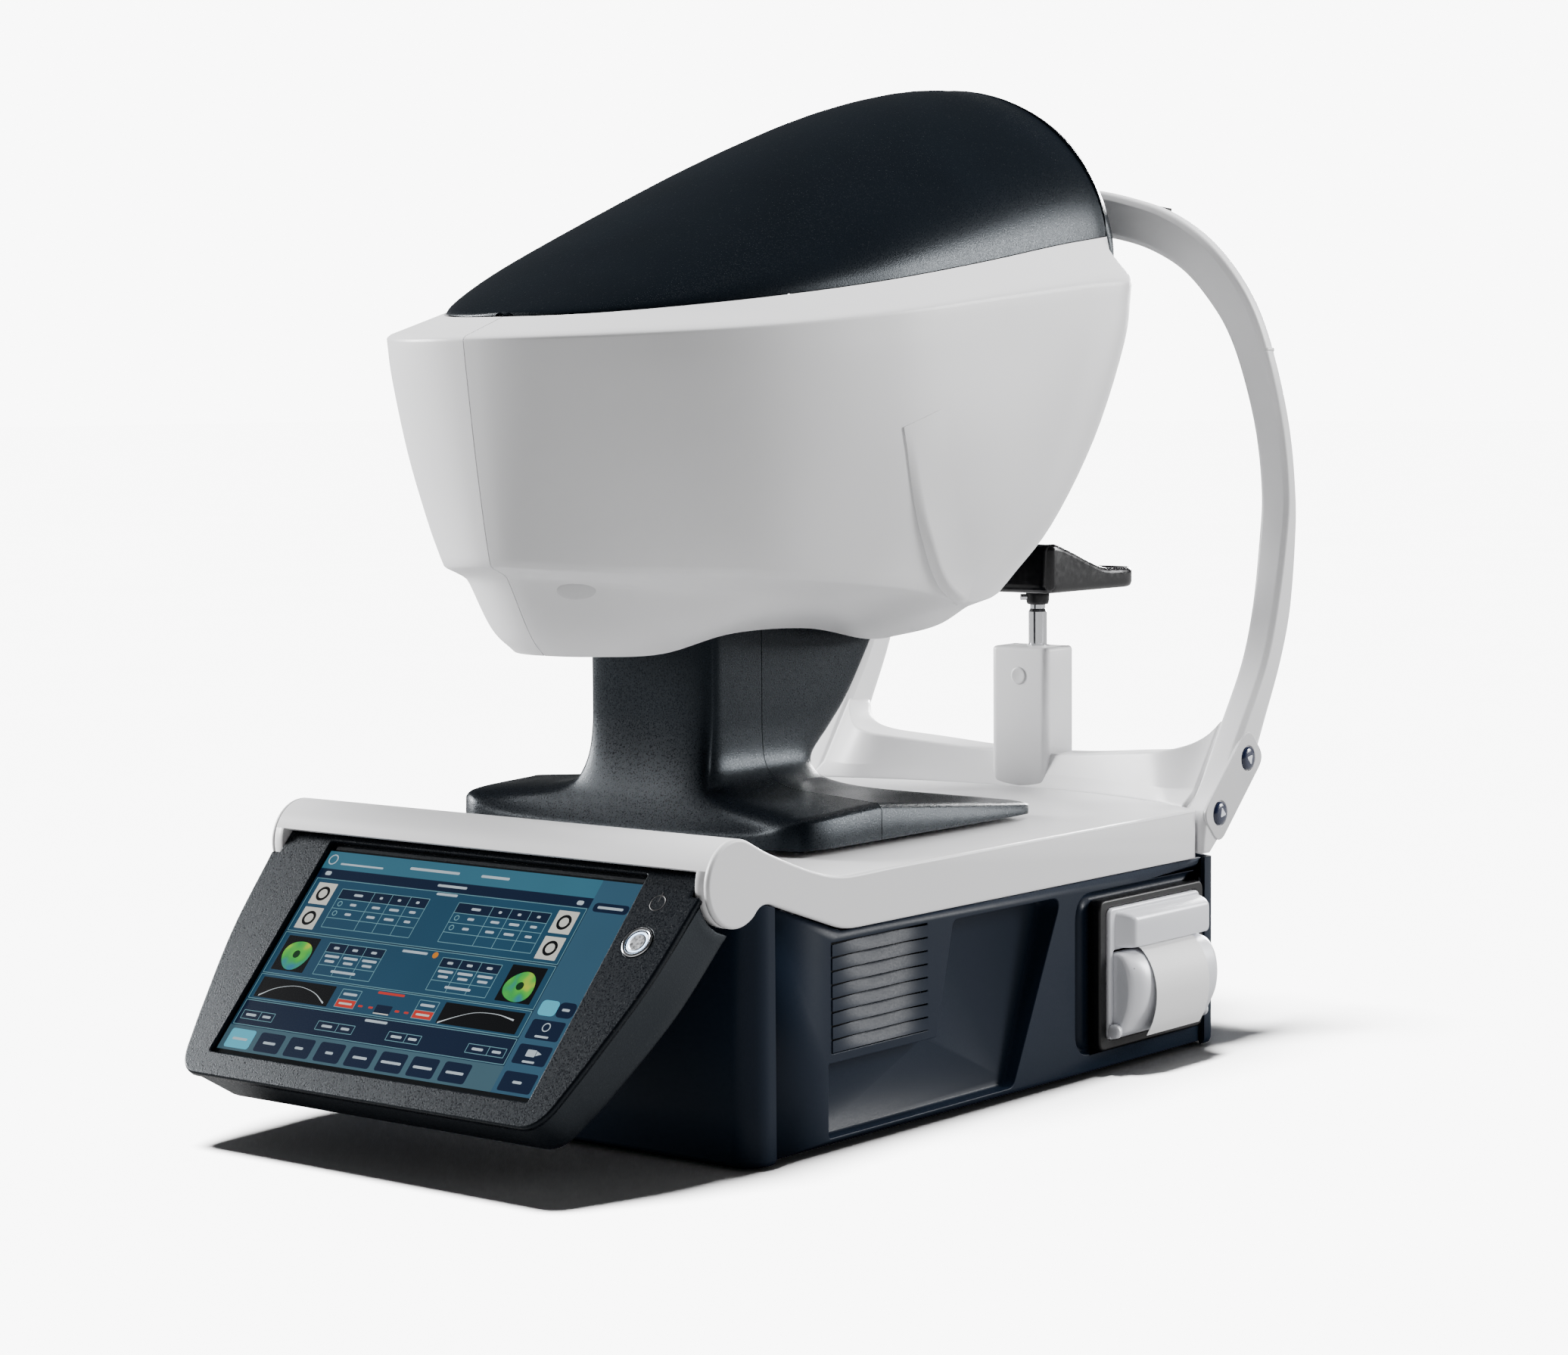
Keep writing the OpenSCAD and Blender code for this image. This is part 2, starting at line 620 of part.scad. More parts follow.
module optics_barrel() {
    color("#17181a") head_frame() translate([0, 0, eye_z]) difference() {
        union() {
            rod_y(26, barrel_y, window_y - 16.3);
            rod_y(32, window_y - 60, window_y - 16.3);
            rod_y(31, barrel_y, barrel_y + 12);
            span([-32, barrel_y + 40, -46], [32, barrel_y + 130, 0]);
        }
        rod_y(21, barrel_y - 1, window_y);
        span([-20, barrel_y + 50, -60], [20, barrel_y + 120, 0]);
    }
}

module objective_lens() {
    color("#8fb0c4") head_frame() translate([0, window_y - 26, eye_z]) rotate([90, 0, 0]) intersection() {
        cylinder(r = 21, h = 12, center = true);
        translate([0, 0, -41]) sphere(r = 46, $fn = 96);
        translate([0, 0, 41]) sphere(r = 46, $fn = 96);
    }
}

module wavefront_camera() {
    color("#2c3036") head_frame() translate([0, 0, eye_z]) {
        span([-20, 138, -20], [20, 170, 20]);
        rod_y(16, 170, barrel_y - 0.2);
        span([-26, 134, -26], [26, 138, 26]);
    }
}

chassis_z = 300;

module head_chassis() {
    color("#8b9096") head_frame() {
        difference() {
            union() {
                span([-92, 120, chassis_z], [92, 300, chassis_z + 4]);
                both_sides() translate([shaft_dx, stage_mid, chassis_z - 8]) cylinder(r = 10, h = 38);
                translate([0, stage_mid, chassis_z - 8]) cylinder(r = 9, h = 24);
            }
            both_sides() translate([shaft_dx, stage_mid, 200]) cylinder(r = rail_r + run, h = 200);
            translate([0, stage_mid, 200]) cylinder(r = screw_r + run, h = 200);
        }
        // cradle under the optics
        both_sides() {
            span([33, 232, chassis_z + 4], [37, 298, eye_z - 10]);
            // brackets out to the side shells
            span([92, 180, chassis_z], [131, 196, chassis_z + 4]);
            span([92, 262, chassis_z], [140.5, 278, chassis_z + 4]);
        }
        span([-33, 232, eye_z - 51], [33, 298, eye_z - 46]);
    }
}

// ---- face frame -----------------------------------------------------------------------------

// The frame's sections on the +X side from its foot to the middle of its top:
// outer X and Z, inner X and Z, front Y, rear Y.
frame_path = [[160, 118, 141, 118, 431, 443], [160, 128, 141, 128, 431, 460], [160, 141, 141, 141, 434, 477],
    [160, 152, 141, 152, 451, 484], [160, 174, 141, 174, 466.5, 499], [160, 192, 141, 192, 479, 509],
    [160, 226, 141, 226, 502, 527], [160, 260, 141, 260, 515, 539], [160, 300, 140, 300, 525, 543],
    [160, 329, 140, 329, 528, 542], [160, 368, 140, 366, 521, 535], [160, 408, 140, 402, 505, 519],
    [156, 440, 137, 428, 492, 506], [146, 464, 129, 447, 483, 497], [130, 484, 117, 463, 477, 491],
    [108, 499, 101, 474, 474, 488], [84, 508, 81, 482, 471.5, 486], [50, 515.5, 49, 488, 470.5, 485],
    [0, 519.5, 0, 491, 470, 484.5]];

// one section of the frame, its rear outer edges eased, moved in by t
function frame_cut(p, t) = let (w = norm([p[0] - p[2], p[1] - p[3]]), d = p[5] - p[4],
    o = [p[0], p[1]] + t * ([p[2], p[3]] - [p[0], p[1]]) / w,
    i = [p[2], p[3]] - t * ([p[2], p[3]] - [p[0], p[1]]) / w,
    f = p[4] + t, r = p[5] - t, e = 0.22, m = o + e * (i - o), q = i - 0.12 * (i - o), h = r - f)
    [[o[0], f + 0.12 * h, o[1]], [m[0], f, m[1]], [q[0], f, q[1]], [i[0], f + 0.2 * h, i[1]],
    [i[0], r - 0.2 * h, i[1]], [q[0], r, q[1]], [m[0], r, m[1]], [o[0], r - 0.35 * h, o[1]]];

function frame_line(t) = let (a = [for (p = frame_path) frame_cut(p, t)], k = len(a[0]) - 1,
    c = [for (j = [0:k]) curve([for (s = a) s[j]], 2, false)], e = len(c[0]) - 1,
    s = [for (i = [0:e]) [for (j = [0:k]) c[j][i]]])
    concat(s, [for (i = [e - 1:-1:0]) [for (p = s[i]) mirrored(p)]]);

// plan of the band between the arms, r in from its front and back
module band_plan(r) {
    difference() {
        translate([0, arc_y]) circle(365 - r, $fn = 180);
        translate([0, arc_y]) circle(arc_r + 0.4 + r, $fn = 180);
        translate([-big, -big]) square([2 * big, big + 300]);
    }
}

module face_frame() {
    color("#e6e7e8") datum() {
        difference() {
            union() {
                bar_solid(frame_line(0));
                // wall across the foot
                intersection() {
                    translate([0, 0, 116]) linear_extrude(80) band_plan(0);
                    along_y(400, 520) polygon([[-160, 116], [160, 116], [160, 144], [158, 177], [120, 175],
                        [80, 171], [40, 167], [0, 165], [-40, 167], [-80, 171], [-120, 175], [-158, 177],
                        [-160, 144]]);
                }
                // half of the chin rest's column
                span([-20.8, 499.4, 140], [20.8, 511, 230]);
            }
            span([-21.8, 440, 143.9], [21.8, 499.4, 260]);
            span([-18, 477.5, 110], [18, 506.5, 143.9]);
            span([-16, 499, 140], [16, 508, 227.5]);
            // hollow behind the wall, open underneath
            both_sides() intersection() {
                translate([0, 0, 112]) linear_extrude(50) band_plan(3);
                along_y(400, 520) polygon([[24, 100], [134, 100], [134, 158], [24, 158]]);
            }
            // the cover's rear edge fits between the arms
            translate([0, 0, 100]) linear_extrude(deck_z + 1.6 - 100) intersection() {
                translate([-cover_hw - 0.4, 0]) square([2 * cover_hw + 0.8, big * 2]);
                translate([0, arc_y]) circle(arc_r + 0.4, $fn = 180);
            }
            // bores of the two lift buttons and seat of their panel
            button_frame() translate([0, 0, -1]) linear_extrude(10) button_outline(0.2);
            for (s = [-1, 1]) button_frame() translate([0, s * button_gap, -9]) cylinder(r = 7.6, h = 20);
        }
    }
}

button_gap = 22;

// +X face of the frame's side, where +Y runs up along the buttons
module button_frame() translate([160, 465.4, 155.5]) rotate([-46.5, 0, 0]) rotate([90, 0, 90]) children();

module button_outline(t) rounded([27 + 2 * t, 71 + 2 * t], 9);

module button_panel() {
    color("#dfe0e1") datum() difference() {
        button_frame() translate([0, 0, -0.8]) linear_extrude(1.6) button_outline(0);
        for (s = [-1, 1]) button_frame() translate([0, s * button_gap, -9]) cylinder(r = 7.6, h = 20);
    }
}

module lift_button(s) {
    button_frame() translate([0, s * button_gap, -6]) {
        cylinder(r = 7.1, h = 8.2);
        translate([0, 0, 8.2]) cylinder(r = 4, h = 0.5, $fn = 3);
    }
}

module up_button() {
    color("#1d2a44") datum() lift_button(1);
}

module down_button() {
    color("#1d2a44") datum() lift_button(-1);
}

module forehead_rest() {
    color("#1c1e21") datum() difference() {
        intersection() {
            translate([0, 1685.2, 400]) cylinder(r = 1200, h = 200, $fn = 720);
            along_y(484.9, 497) polygon([[-94, 487], [-60, 494], [0, 497], [60, 494], [94, 487], [96, 503],
                [60, 510], [0, 513], [-60, 510], [-96, 503]]);
            translate([0, 780, 0]) cylinder(r = 310, h = 600, $fn = 120);
        }
        translate([0, 780, 0]) cylinder(r = 288, h = 600, $fn = 120);
    }
}

// ---- chin rest ------------------------------------------------------------------------------

column_top = 232.4;

module chin_lift_cover() {
    color("#e6e7e8") datum() difference() {
        translate([0, 0, 144.2]) linear_extrude(column_top - 144.2) difference() {
            translate([0, 485]) rounded([42.8, 29], 5);
            translate([-30, 499]) square([60, 20]);
        }
        span([-18.4, 473.5, 140], [18.4, 510, column_top - 3]);
        translate([0, chin_y, 200]) cylinder(r = rod_r + 0.6, h = 50);
        translate([0, 0, 214.2]) rod_y(2.6, 460, 480);
        translate([0, 0, 214.2]) rod_y(4.6, 460, 472.4);
    }
}

module cover_screw() {
    color("#9a9da1") datum() translate([0, 0, 214.2]) difference() {
        union() {
            rod_y(4.3, 470.8, 472.2);
            rod_y(2.4, 472, 484);
        }
        for (a = [0, 90]) rotate([0, a, 0]) span([-2.6, 469, -0.5], [2.6, 471.7, 0.5]);
    }
}

module chin_motor() {
    color("#4a4d52") datum() {
        span([-15, 478, 118], [15, 506, 143]);
        translate([0, chin_y, 143]) cylinder(r = 7, h = 2);
    }
}

module chin_screw() {
    color("#b0b4b8") datum() translate([0, chin_y, 145.3]) cylinder(r = 3, h = 66);
}

module chin_rod() {
    color("#c9ccd0") datum() translate([0, chin_y, 0]) difference() {
        union() {
            translate([0, 0, 172]) cylinder(r = rod_r, h = 81.5);
            translate([0, 0, 253.5]) cylinder(r1 = rod_r, r2 = rod_r - 1, h = 2);
            translate([0, 0, 255.5]) cylinder(r = rod_r - 1, h = 24);
        }
        translate([0, 0, 160]) cylinder(r = 3 + run, h = 78);
    }
}

module rod_collar() {
    color("#b9bcc0") datum() translate([0, chin_y, 262.8]) {
        difference() {
            cylinder(r = 6.6, h = 5.6);
            translate([0, 0, -1]) cylinder(r = rod_r - 1, h = 20);
        }
        rotate([0, 0, 45]) rod_x(2, -11, -5.6);
    }
}

module chin_rest() {
    color("#1a1b1d") datum() difference() {
        union() {
            hull() {
                translate([-cup_hw + 6, 446, 269]) cylinder(r = 6, h = 3, $fn = 32);
                translate([cup_hw - 6, 446, 269]) cylinder(r = 6, h = 3, $fn = 32);
                translate([-cup_hw + 12, 530, 269]) cylinder(r = 12, h = 3, $fn = 32);
                translate([cup_hw - 12, 530, 269]) cylinder(r = 12, h = 3, $fn = 32);
                translate([-cup_hw + 8, 448, 290]) cylinder(r = 7, h = 9, $fn = 32);
                translate([cup_hw - 8, 448, 290]) cylinder(r = 7, h = 9, $fn = 32);
                translate([-cup_hw + 12, 528, 276]) cylinder(r = 12, h = 6, $fn = 32);
                translate([cup_hw - 12, 528, 276]) cylinder(r = 12, h = 6, $fn = 32);
            }
        }
        // dished top
        translate([0, 496, 402]) sphere(r = 124, $fn = 90);
        translate([0, chin_y, 260]) cylinder(r = rod_r - 1, h = 19.6);
    }
}

// ---- screen ---------------------------------------------------------------------------------

// X across, +Y up the screen, +Z out of its face, from the hinge axis
module screen_frame() datum() translate([0, 0, roll_z]) rotate([tilt, 0, 0]) children();

tongue_hw = 146.2;        // half width between the round ends
view_y = [-145.5, -9.3];  // opening in the bezel
view_hw = 113;
button_at = [128.4, -49.3];
casing_z = 16.5;          // depth of the casing behind the hinge axis
arm_x = [-106, 94];
panel_hw = 118;

module screen_outline(t) {
    offset(r = 11) offset(delta = -11 - t)
        polygon([[-152.8, 10], [152.8, 10], [152.4, -20], [148, -71], [137.6, -119], [129.2, -152],
            [122, -159.6], [-122, -159.6], [-129.2, -152], [-137.6, -119], [-148, -71], [-152.4, -20]]);
}

module clear_of_roll(r) difference() {
    children();
    rod_x(r, -170, 170, $fn = 90);
    translate([-170, -12, -60]) cube([340, 60, 120]);
}

module screen_bezel() {
    color("#22262c") screen_frame() difference() {
        union() {
            clear_of_roll(roll_r + 2.6) {
                translate([0, 0, 1]) linear_extrude(bezel_z - 3) screen_outline(0);
                translate([0, 0, bezel_z - 2.1]) linear_extrude(2.1) screen_outline(1.2);
            }
            // tongue that goes up under the cover's edge
            translate([-tongue_hw, -30, bezel_z - 3]) cube([2 * tongue_hw, 38, 3]);
        }
        clear_of_roll(roll_r + 5.6) translate([0, 0, -5]) linear_extrude(bezel_z + 2) screen_outline(3);
        translate([-view_hw, view_y[0], -10]) cube([2 * view_hw, view_y[1] - view_y[0], 40]);
        // room for the display and the hinge arms
        translate([-panel_hw - 0.3, view_y[0] - 3.3, 4])
            cube([2 * panel_hw + 0.6, view_y[1] - view_y[0] + 5.6, bezel_z - 7]);
        for (x = arm_x) translate([x - 0.3, -40, -12]) cube([12.6, 50, 20]);
        translate([button_at[0], button_at[1], -10]) cylinder(r = 9.1, h = 40);
    }
}

module screen_back() {
    color("#2a2e35") screen_frame() {
        difference() {
            clear_of_roll(roll_r + 3) union() {
                translate([0, 0, 3 - casing_z]) linear_extrude(casing_z - 2.3) screen_outline(0.3);
                translate([0, 0, -casing_z]) linear_extrude(4) screen_outline(2.5);
            }
            clear_of_roll(roll_r + 6) translate([0, 0, 3 - casing_z]) linear_extrude(30) screen_outline(4);
        }
        // arms to the hinge
        for (x = arm_x) difference() {
            union() {
                rod_x(8, x, x + 12);
                translate([x, -31, -7]) cube([12, 31, 13]);
            }
            rod_x(5 + run, x - 1, x + 13);
        }
    }
}

module display_panel() {
    color("#2a6f86") screen_frame()
        translate([-panel_hw, view_y[0] - 3, bezel_z - 5.3])
            cube([2 * panel_hw, view_y[1] - view_y[0] + 5, 2.2]);
}

module button_ring() {
    color("#cfd8e6") screen_frame() translate([button_at[0], button_at[1], bezel_z - 11]) difference() {
        cylinder(r = 8.9, h = 11.8);
        translate([0, 0, -1]) cylinder(r = 6.9, h = 14);
    }
}

module power_button() {
    color("#9da1a6") screen_frame() translate([button_at[0], button_at[1], bezel_z - 10])
        cylinder(r = 6.6, h = 10.4);
}

// ---- printer --------------------------------------------------------------------------------

printer_box = [[324, 16], [434, 102]];
door_hinge = [162.5, 26.2];

// an outline in X and Z, drawn along Y between two places
module printer_part(y0, y1) datum() along_y(y0, y1) children();

module printer_frame() {
    color("#1a1b1e") datum() difference() {
        translate([base_hw, (323 + 434) / 2, 58.5]) rotate([90, 0, 90]) {
            linear_extrude(5.5) rounded([111, 87], 6);
            translate([0, 0, -4]) linear_extrude(5) rounded([104.4, 81.4], 3);
        }
        span([140, 330, 20.4], [170, 428, 97.6]);
    }
}

module printer_body() {
    color("#a9adb2") datum() difference() {
        union() {
            span([104, 330.4, 20.8], [160, 427.6, 97.2]);
            along_y(330.4, 427.6) polygon([[160, 73.5], [166, 75], [169, 84], [166.5, 93], [160, 97.2]]);
        }
        span([106.5, 333.5, 23], [170, 424.5, 72.5]);
        translate([152, 0, 72]) {
            rod_y(6, 350, 410);
            rod_y(1.8 + run, 347.8, 412.2);
        }
        along_y(350.5, 410.5) polygon([[158, 60], [167, 60], [166.4, 74.9], [163.4, 77], [157, 75.5]]);
        // seats of the door's hinge pins
        for (y = [330.3, 423.9]) translate([door_hinge[0], 0, door_hinge[1]]) {
            rod_y(3.7, y, y + 3.8);
            span([-3.9, y, -4.3], [0, y + 3.8, 4.3]);
        }
    }
}

door_out = [[163.5, 70.8], [169, 68], [174, 61], [176, 51], [174.6, 40], [170, 30], [166.5, 23.5],
    [159.5, 23.5]];

module printer_door() {
    color("#b3b7bb") datum() {
        difference() {
            along_y(334.5, 423.5) polygon(concat(door_out, [[159.5, 70.8]]));
            along_y(337, 421) offset(delta = -2.2) polygon(concat(door_out, [[150, 70.8]]));
            span([150, 337, 31], [162, 421, 69]);
            translate([door_hinge[0], 0, door_hinge[1]]) rod_y(1.6 + run, 330, 340);
            translate([door_hinge[0], 0, door_hinge[1]]) rod_y(1.6 + run, 418, 430);
        }
    }
}

module printer_hinge() {
    color("#8e9297") datum() translate([door_hinge[0], 0, door_hinge[1]]) {
        rod_y(1.6, 330.6, 339.6);
        rod_y(1.6, 418.4, 427.4);
        rod_y(3.4, 330.6, 333.8);
        rod_y(3.4, 424.2, 427.4);
        span([-3.6, 330.6, -4], [-2.4, 333.8, 4]);
        span([-3.6, 424.2, -4], [-2.4, 427.4, 4]);
    }
}

module platen_roller() {
    color("#2a2b2e") datum() translate([152, 0, 72]) {
        rod_y(5.2, 352, 408);
        rod_y(1.8, 348, 412);
    }
}

roll_at = [130, 48];

module paper_roll() {
    color("#f2f2ef") datum() translate([roll_at[0], 0, roll_at[1]]) difference() {
        rod_y(paper_r, 351, 408);
        rod_y(6 + run, 340, 420);
    }
}

module paper_spindle() {
    color("#3a3c40") datum() translate([roll_at[0], 0, roll_at[1]]) rod_y(6, 333.5, 424.5);
}

receipt_line = [[162.6, 74.4], [166.6, 72], [172, 66], [176, 58], [178.2, 48], [177.6, 38], [174.5, 29],
    [172, 22]];

module receipt() {
    e = len(receipt_line) - 1;
    back = [for (i = [e:-1:0]) receipt_line[i]];
    color("#f4f4f1") datum() along_y(352, 409)
        polygon(concat(offset_curve(receipt_line, 0), offset_curve(back, 0.5)));
}

// a smooth line through points, moved to its right by t
function offset_curve(p, t) = let (c = [for (q = curve([for (a = p) [a[0], 0, a[1]]], 4, false))
    [q[0], q[2]]], e = len(c) - 1) [for (i = [0:e])
    let (d = c[lim(i + 1, e)] - c[lim(i - 1, e)]) c[i] + t * [d[1], -d[0]] / norm(d)];

base_housing();
top_cover();
face_frame();
rear_panel();
chassis_plate();
rubber_feet();
power_inlet();
power_supply();
main_board();
fan_frame();
fan_rotor();
hinge_shaft();
y_rails();
y_screw();
y_motor();
y_carriage();
x_rails();
x_screw();
x_motor();
x_carriage();
lift_shafts();
lift_screw();
lift_motor();
pedestal_front_cover();
pedestal_rear_cover();
head_chassis();
head_left_shell();
head_right_shell();
head_top_cover();
head_rear_cover();
head_plug();
ring_target();
window_glass();
optics_barrel();
objective_lens();
wavefront_camera();
forehead_rest();
button_panel();
up_button();
down_button();
chin_lift_cover();
cover_screw();
chin_motor();
chin_screw();
chin_rod();
rod_collar();
chin_rest();
screen_back();
screen_bezel();
display_panel();
button_ring();
power_button();
printer_frame();
printer_body();
printer_door();
printer_hinge();
platen_roller();
paper_roll();
receipt();
paper_spindle();
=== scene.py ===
"""Looks of a desk-top autorefractor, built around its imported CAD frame."""

import math

import bmesh
import bpy
from mathutils import Matrix, Vector
from mathutils.bvhtree import BVHTree


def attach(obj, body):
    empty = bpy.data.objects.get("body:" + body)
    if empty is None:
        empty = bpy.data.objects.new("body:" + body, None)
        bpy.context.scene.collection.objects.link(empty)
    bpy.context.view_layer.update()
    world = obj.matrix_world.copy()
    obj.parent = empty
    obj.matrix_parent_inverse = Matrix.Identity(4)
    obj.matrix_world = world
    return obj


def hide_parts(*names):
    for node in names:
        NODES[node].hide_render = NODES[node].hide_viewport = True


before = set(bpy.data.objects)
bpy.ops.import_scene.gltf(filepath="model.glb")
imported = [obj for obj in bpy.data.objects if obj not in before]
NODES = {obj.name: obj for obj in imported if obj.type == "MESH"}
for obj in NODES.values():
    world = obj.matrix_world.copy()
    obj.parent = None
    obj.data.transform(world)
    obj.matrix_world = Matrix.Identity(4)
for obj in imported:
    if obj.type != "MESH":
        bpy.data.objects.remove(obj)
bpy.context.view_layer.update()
MM = 0.001
SHIFT = Vector((0.9, -212.6, 0.0))  # from the front edge's axis to the middle of the whole
HEAD_X = -27.0
ROLL_Z = 149.4
ROLL_R = 22.6
TILT = math.radians(47.9)
EYE_Z = 413.0


def place(p):
    """A point measured in mm from the front edge's axis, in the row frame."""
    return (Vector(p) + SHIFT) * MM


# ---- camera ---------------------------------------------------------------------------------


def make_camera():
    azimuth, elevation, roll = (math.radians(a) for a in (38.56, 4.74, 0.43))
    shade_sheet = Vector((math.sin(azimuth) * math.cos(elevation), -math.cos(azimuth) * math.cos(elevation),
                   math.sin(elevation)))
    right = Vector((math.cos(azimuth), math.sin(azimuth), 0))
    up = shade_sheet.cross(right)
    turn = Matrix.Rotation(-roll, 3, shade_sheet)
    right, up = turn @ right, turn @ up
    data = bpy.data.cameras.new("camera")
    data.lens = 80.81
    data.sensor_width = 36
    data.clip_start, data.clip_end = 0.05, 50
    obj = bpy.data.objects.new("camera", data)
    bpy.context.collection.objects.link(obj)
    place_at = place((27.24, 200, 233.07)) + shade_sheet * 1.98254
    obj.matrix_world = Matrix((right, up, shade_sheet)).transposed().to_4x4()
    obj.matrix_world.translation = place_at
    bpy.context.scene.camera = obj


make_camera()


# ---- materials ------------------------------------------------------------------------------


class Nodes:
    """Short calls for building one material's node tree."""

    def __init__(self, name):
        self.mat = bpy.data.materials.new(name)
        self.mat.use_nodes = True
        self.tree = self.mat.node_tree
        self.shader = self.tree.nodes["Principled BSDF"]
        self.coords = self.add("ShaderNodeTexCoord").outputs["Object"]

    def add(self, kind, **settings):
        node = self.tree.nodes.new(kind)
        for key, value in settings.items():
            if hasattr(node, key):
                setattr(node, key, value)
            else:
                node.inputs[key.replace("_", " ")].default_value = value
        return node

    def link(self, a, b):
        self.tree.links.new(a, b)

    def set(self, **values):
        for key, value in values.items():
            self.shader.inputs[key.replace("_", " ")].default_value = value

    def noise(self, scale, detail=2.0, rough=0.5):
        node = self.add("ShaderNodeTexNoise", Scale=scale, Detail=detail, Roughness=rough)
        self.link(self.coords, node.inputs["Vector"])
        return node.outputs["Fac"]

    def ramp(self, source, stops):
        node = self.add("ShaderNodeValToRGB")
        ramp = node.color_ramp
        while len(ramp.elements) < len(stops):
            ramp.elements.new(0.5)
        for element, (at, colour) in zip(ramp.elements, stops):
            element.position = at
            element.color = colour if len(colour) == 4 else (*colour, 1)
        self.link(source, node.inputs["Fac"])
        return node.outputs["Color"]

    def level(self, source, low, high, a=0.3, b=0.7):
        node = self.add("ShaderNodeMapRange")
        for key, value in (("From Min", a), ("From Max", b), ("To Min", low), ("To Max", high)):
            node.inputs[key].default_value = value
        self.link(source, node.inputs["Value"])
        return node.outputs["Result"]

    def feed(self, source, socket):
        self.link(source, self.shader.inputs[socket])

    def paint(self, colour, low, high, scale, detail, socket="Base Color"):
        """Colour that drifts slowly between low and high times the given one."""
        drift = self.noise(scale, detail)
        self.feed(self.ramp(drift, [(0.3, tone(colour, low)), (0.7, tone(colour, high))]), socket)

    def bump(self, source, height, strength=1.0, under=None):
        node = self.add("ShaderNodeBump", Strength=strength, Distance=height)
        self.link(source, node.inputs["Height"])
        if under is not None:
            self.link(under, node.inputs["Normal"])
        self.feed(node.outputs["Normal"], "Normal")
        return node.outputs["Normal"]


def tone(colour, k):
    return tuple(min(1.0, c * k) for c in colour)


def moulded(name, colour, rough=0.35, grain=900, grain_height=0.00002, spread=0.04, coat=0.0, metal=0.0,
            gloss=0.5):
    """Moulded plastic or paint: faint colour drift, fine grain in bump and roughness."""
    m = Nodes(name)
    m.set(Roughness=rough, Coat_Weight=coat, Coat_Roughness=0.12, Metallic=metal, Specular_IOR_Level=gloss)
    m.paint(colour, 1 - spread, 1 + spread, 9, 3)
    fine = m.noise(grain, 2)
    m.feed(m.level(fine, rough - 0.05, rough + 0.06), "Roughness")
    under = m.bump(m.noise(60, 2), grain_height * 2, 0.35)
    m.bump(fine, grain_height, 0.6, under)
    return m.mat


def sparkling(name, colour, rough=0.36, scale=1500, glint_paint=0.35, height=0.00006, gloss=0.3):
    """Textured dark paint: fine grain in bump and roughness, with pale flecks painted into its colour as glints
    of single grains.
    """
    m = Nodes(name)
    m.set(Specular_IOR_Level=gloss, Specular_Tint=(0.72, 0.87, 1, 1))
    cells = m.add("ShaderNodeTexVoronoi", Scale=scale)
    m.link(m.coords, cells.inputs["Vector"])
    grain = m.noise(scale * 0.8, 3, 0.6)
    # pale flecks added to the colour: painted glints, one grain at a time
    painted_glints = m.ramp(cells.outputs["Color"], [(0.0, (0, 0, 0)), (0.86, (0, 0, 0)), (1.0, (1, 1, 1))])
    base = m.ramp(m.noise(14, 3), [(0.3, tone(colour, 0.9)), (0.7, tone(colour, 1.12))])
    mix = m.add("ShaderNodeMix", data_type="RGBA", blend_type="ADD")
    mix.inputs[0].default_value = glint_paint * 0.06
    m.link(base, mix.inputs[6])
    m.link(painted_glints, mix.inputs[7])
    m.feed(mix.outputs[2], "Base Color")
    m.feed(m.level(grain, rough - 0.1, rough + 0.14), "Roughness")
    under = m.bump(cells.outputs["Distance"], height, 0.8)
    m.bump(grain, height, 0.8, under)
    return m.mat


def metal(name, colour, rough=0.2, grain=(1, 1, 1), grain_scale=400, bump=0.00001):
    """Turned, drawn or cast metal with streaks along one axis."""
    m = Nodes(name)
    m.set(Metallic=1.0)
    scale = m.add("ShaderNodeMapping", vector_type="POINT")
    scale.inputs["Scale"].default_value = grain
    m.link(m.coords, scale.inputs["Vector"])
    streak = m.add("ShaderNodeTexNoise", Scale=grain_scale, Detail=3.0)
    m.link(scale.outputs["Vector"], streak.inputs["Vector"])
    m.paint(colour, 0.92, 1.05, 25, 2)
    m.feed(m.level(streak.outputs["Fac"], rough * 0.7, rough * 1.4), "Roughness")
    m.bump(streak.outputs["Fac"], bump, 0.5)
    return m.mat


def glassy(name, colour, alpha, rough=0.03):
    """Tinted glass with a clear coat."""
    m = Nodes(name)
    m.set(Alpha=alpha, Coat_Weight=0.6, Coat_Roughness=0.02, IOR=1.5)
    m.paint(colour, 0.9, 1.1, 20, 1)
    m.feed(m.level(m.noise(40, 2), rough * 0.6, rough * 1.6), "Roughness")
    return m.mat


def lit(name, colour, strength):
    """A glowing part of the picture behind the screen's glass."""
    m = Nodes(name)
    m.set(Roughness=0.12, Emission_Strength=strength)
    m.paint(colour, 0.04, 0.06, 30, 2)
    m.paint(colour, 0.93, 1.07, 12, 2, "Emission Color")
    return m.mat


def eye_map(name):
    """Coloured height bands of the front of an eye."""
    m = Nodes(name)
    m.set(Roughness=0.12, Emission_Strength=GLOW)
    bands = [(0.3, (0.02, 0.1, 0.35)), (0.45, (0.02, 0.32, 0.06)), (0.6, (0.1, 0.5, 0.03)),
             (0.75, (0.75, 0.6, 0.02))]
    m.feed(m.ramp(m.noise(90, 1), [(0.0, (0.01, 0.08, 0.02)), (1.0, (0.02, 0.1, 0.02))]), "Base Color")
    m.feed(m.ramp(m.noise(90, 1), bands), "Emission Color")
    return m.mat


GLOW = 0.8  # brightness of the shown picture


def srgb(r, g, b):
    """Display colours as light."""
    return tuple(((c / 255 + 0.055) / 1.055) ** 2.4 if c > 10 else c / 3295 for c in (r, g, b))


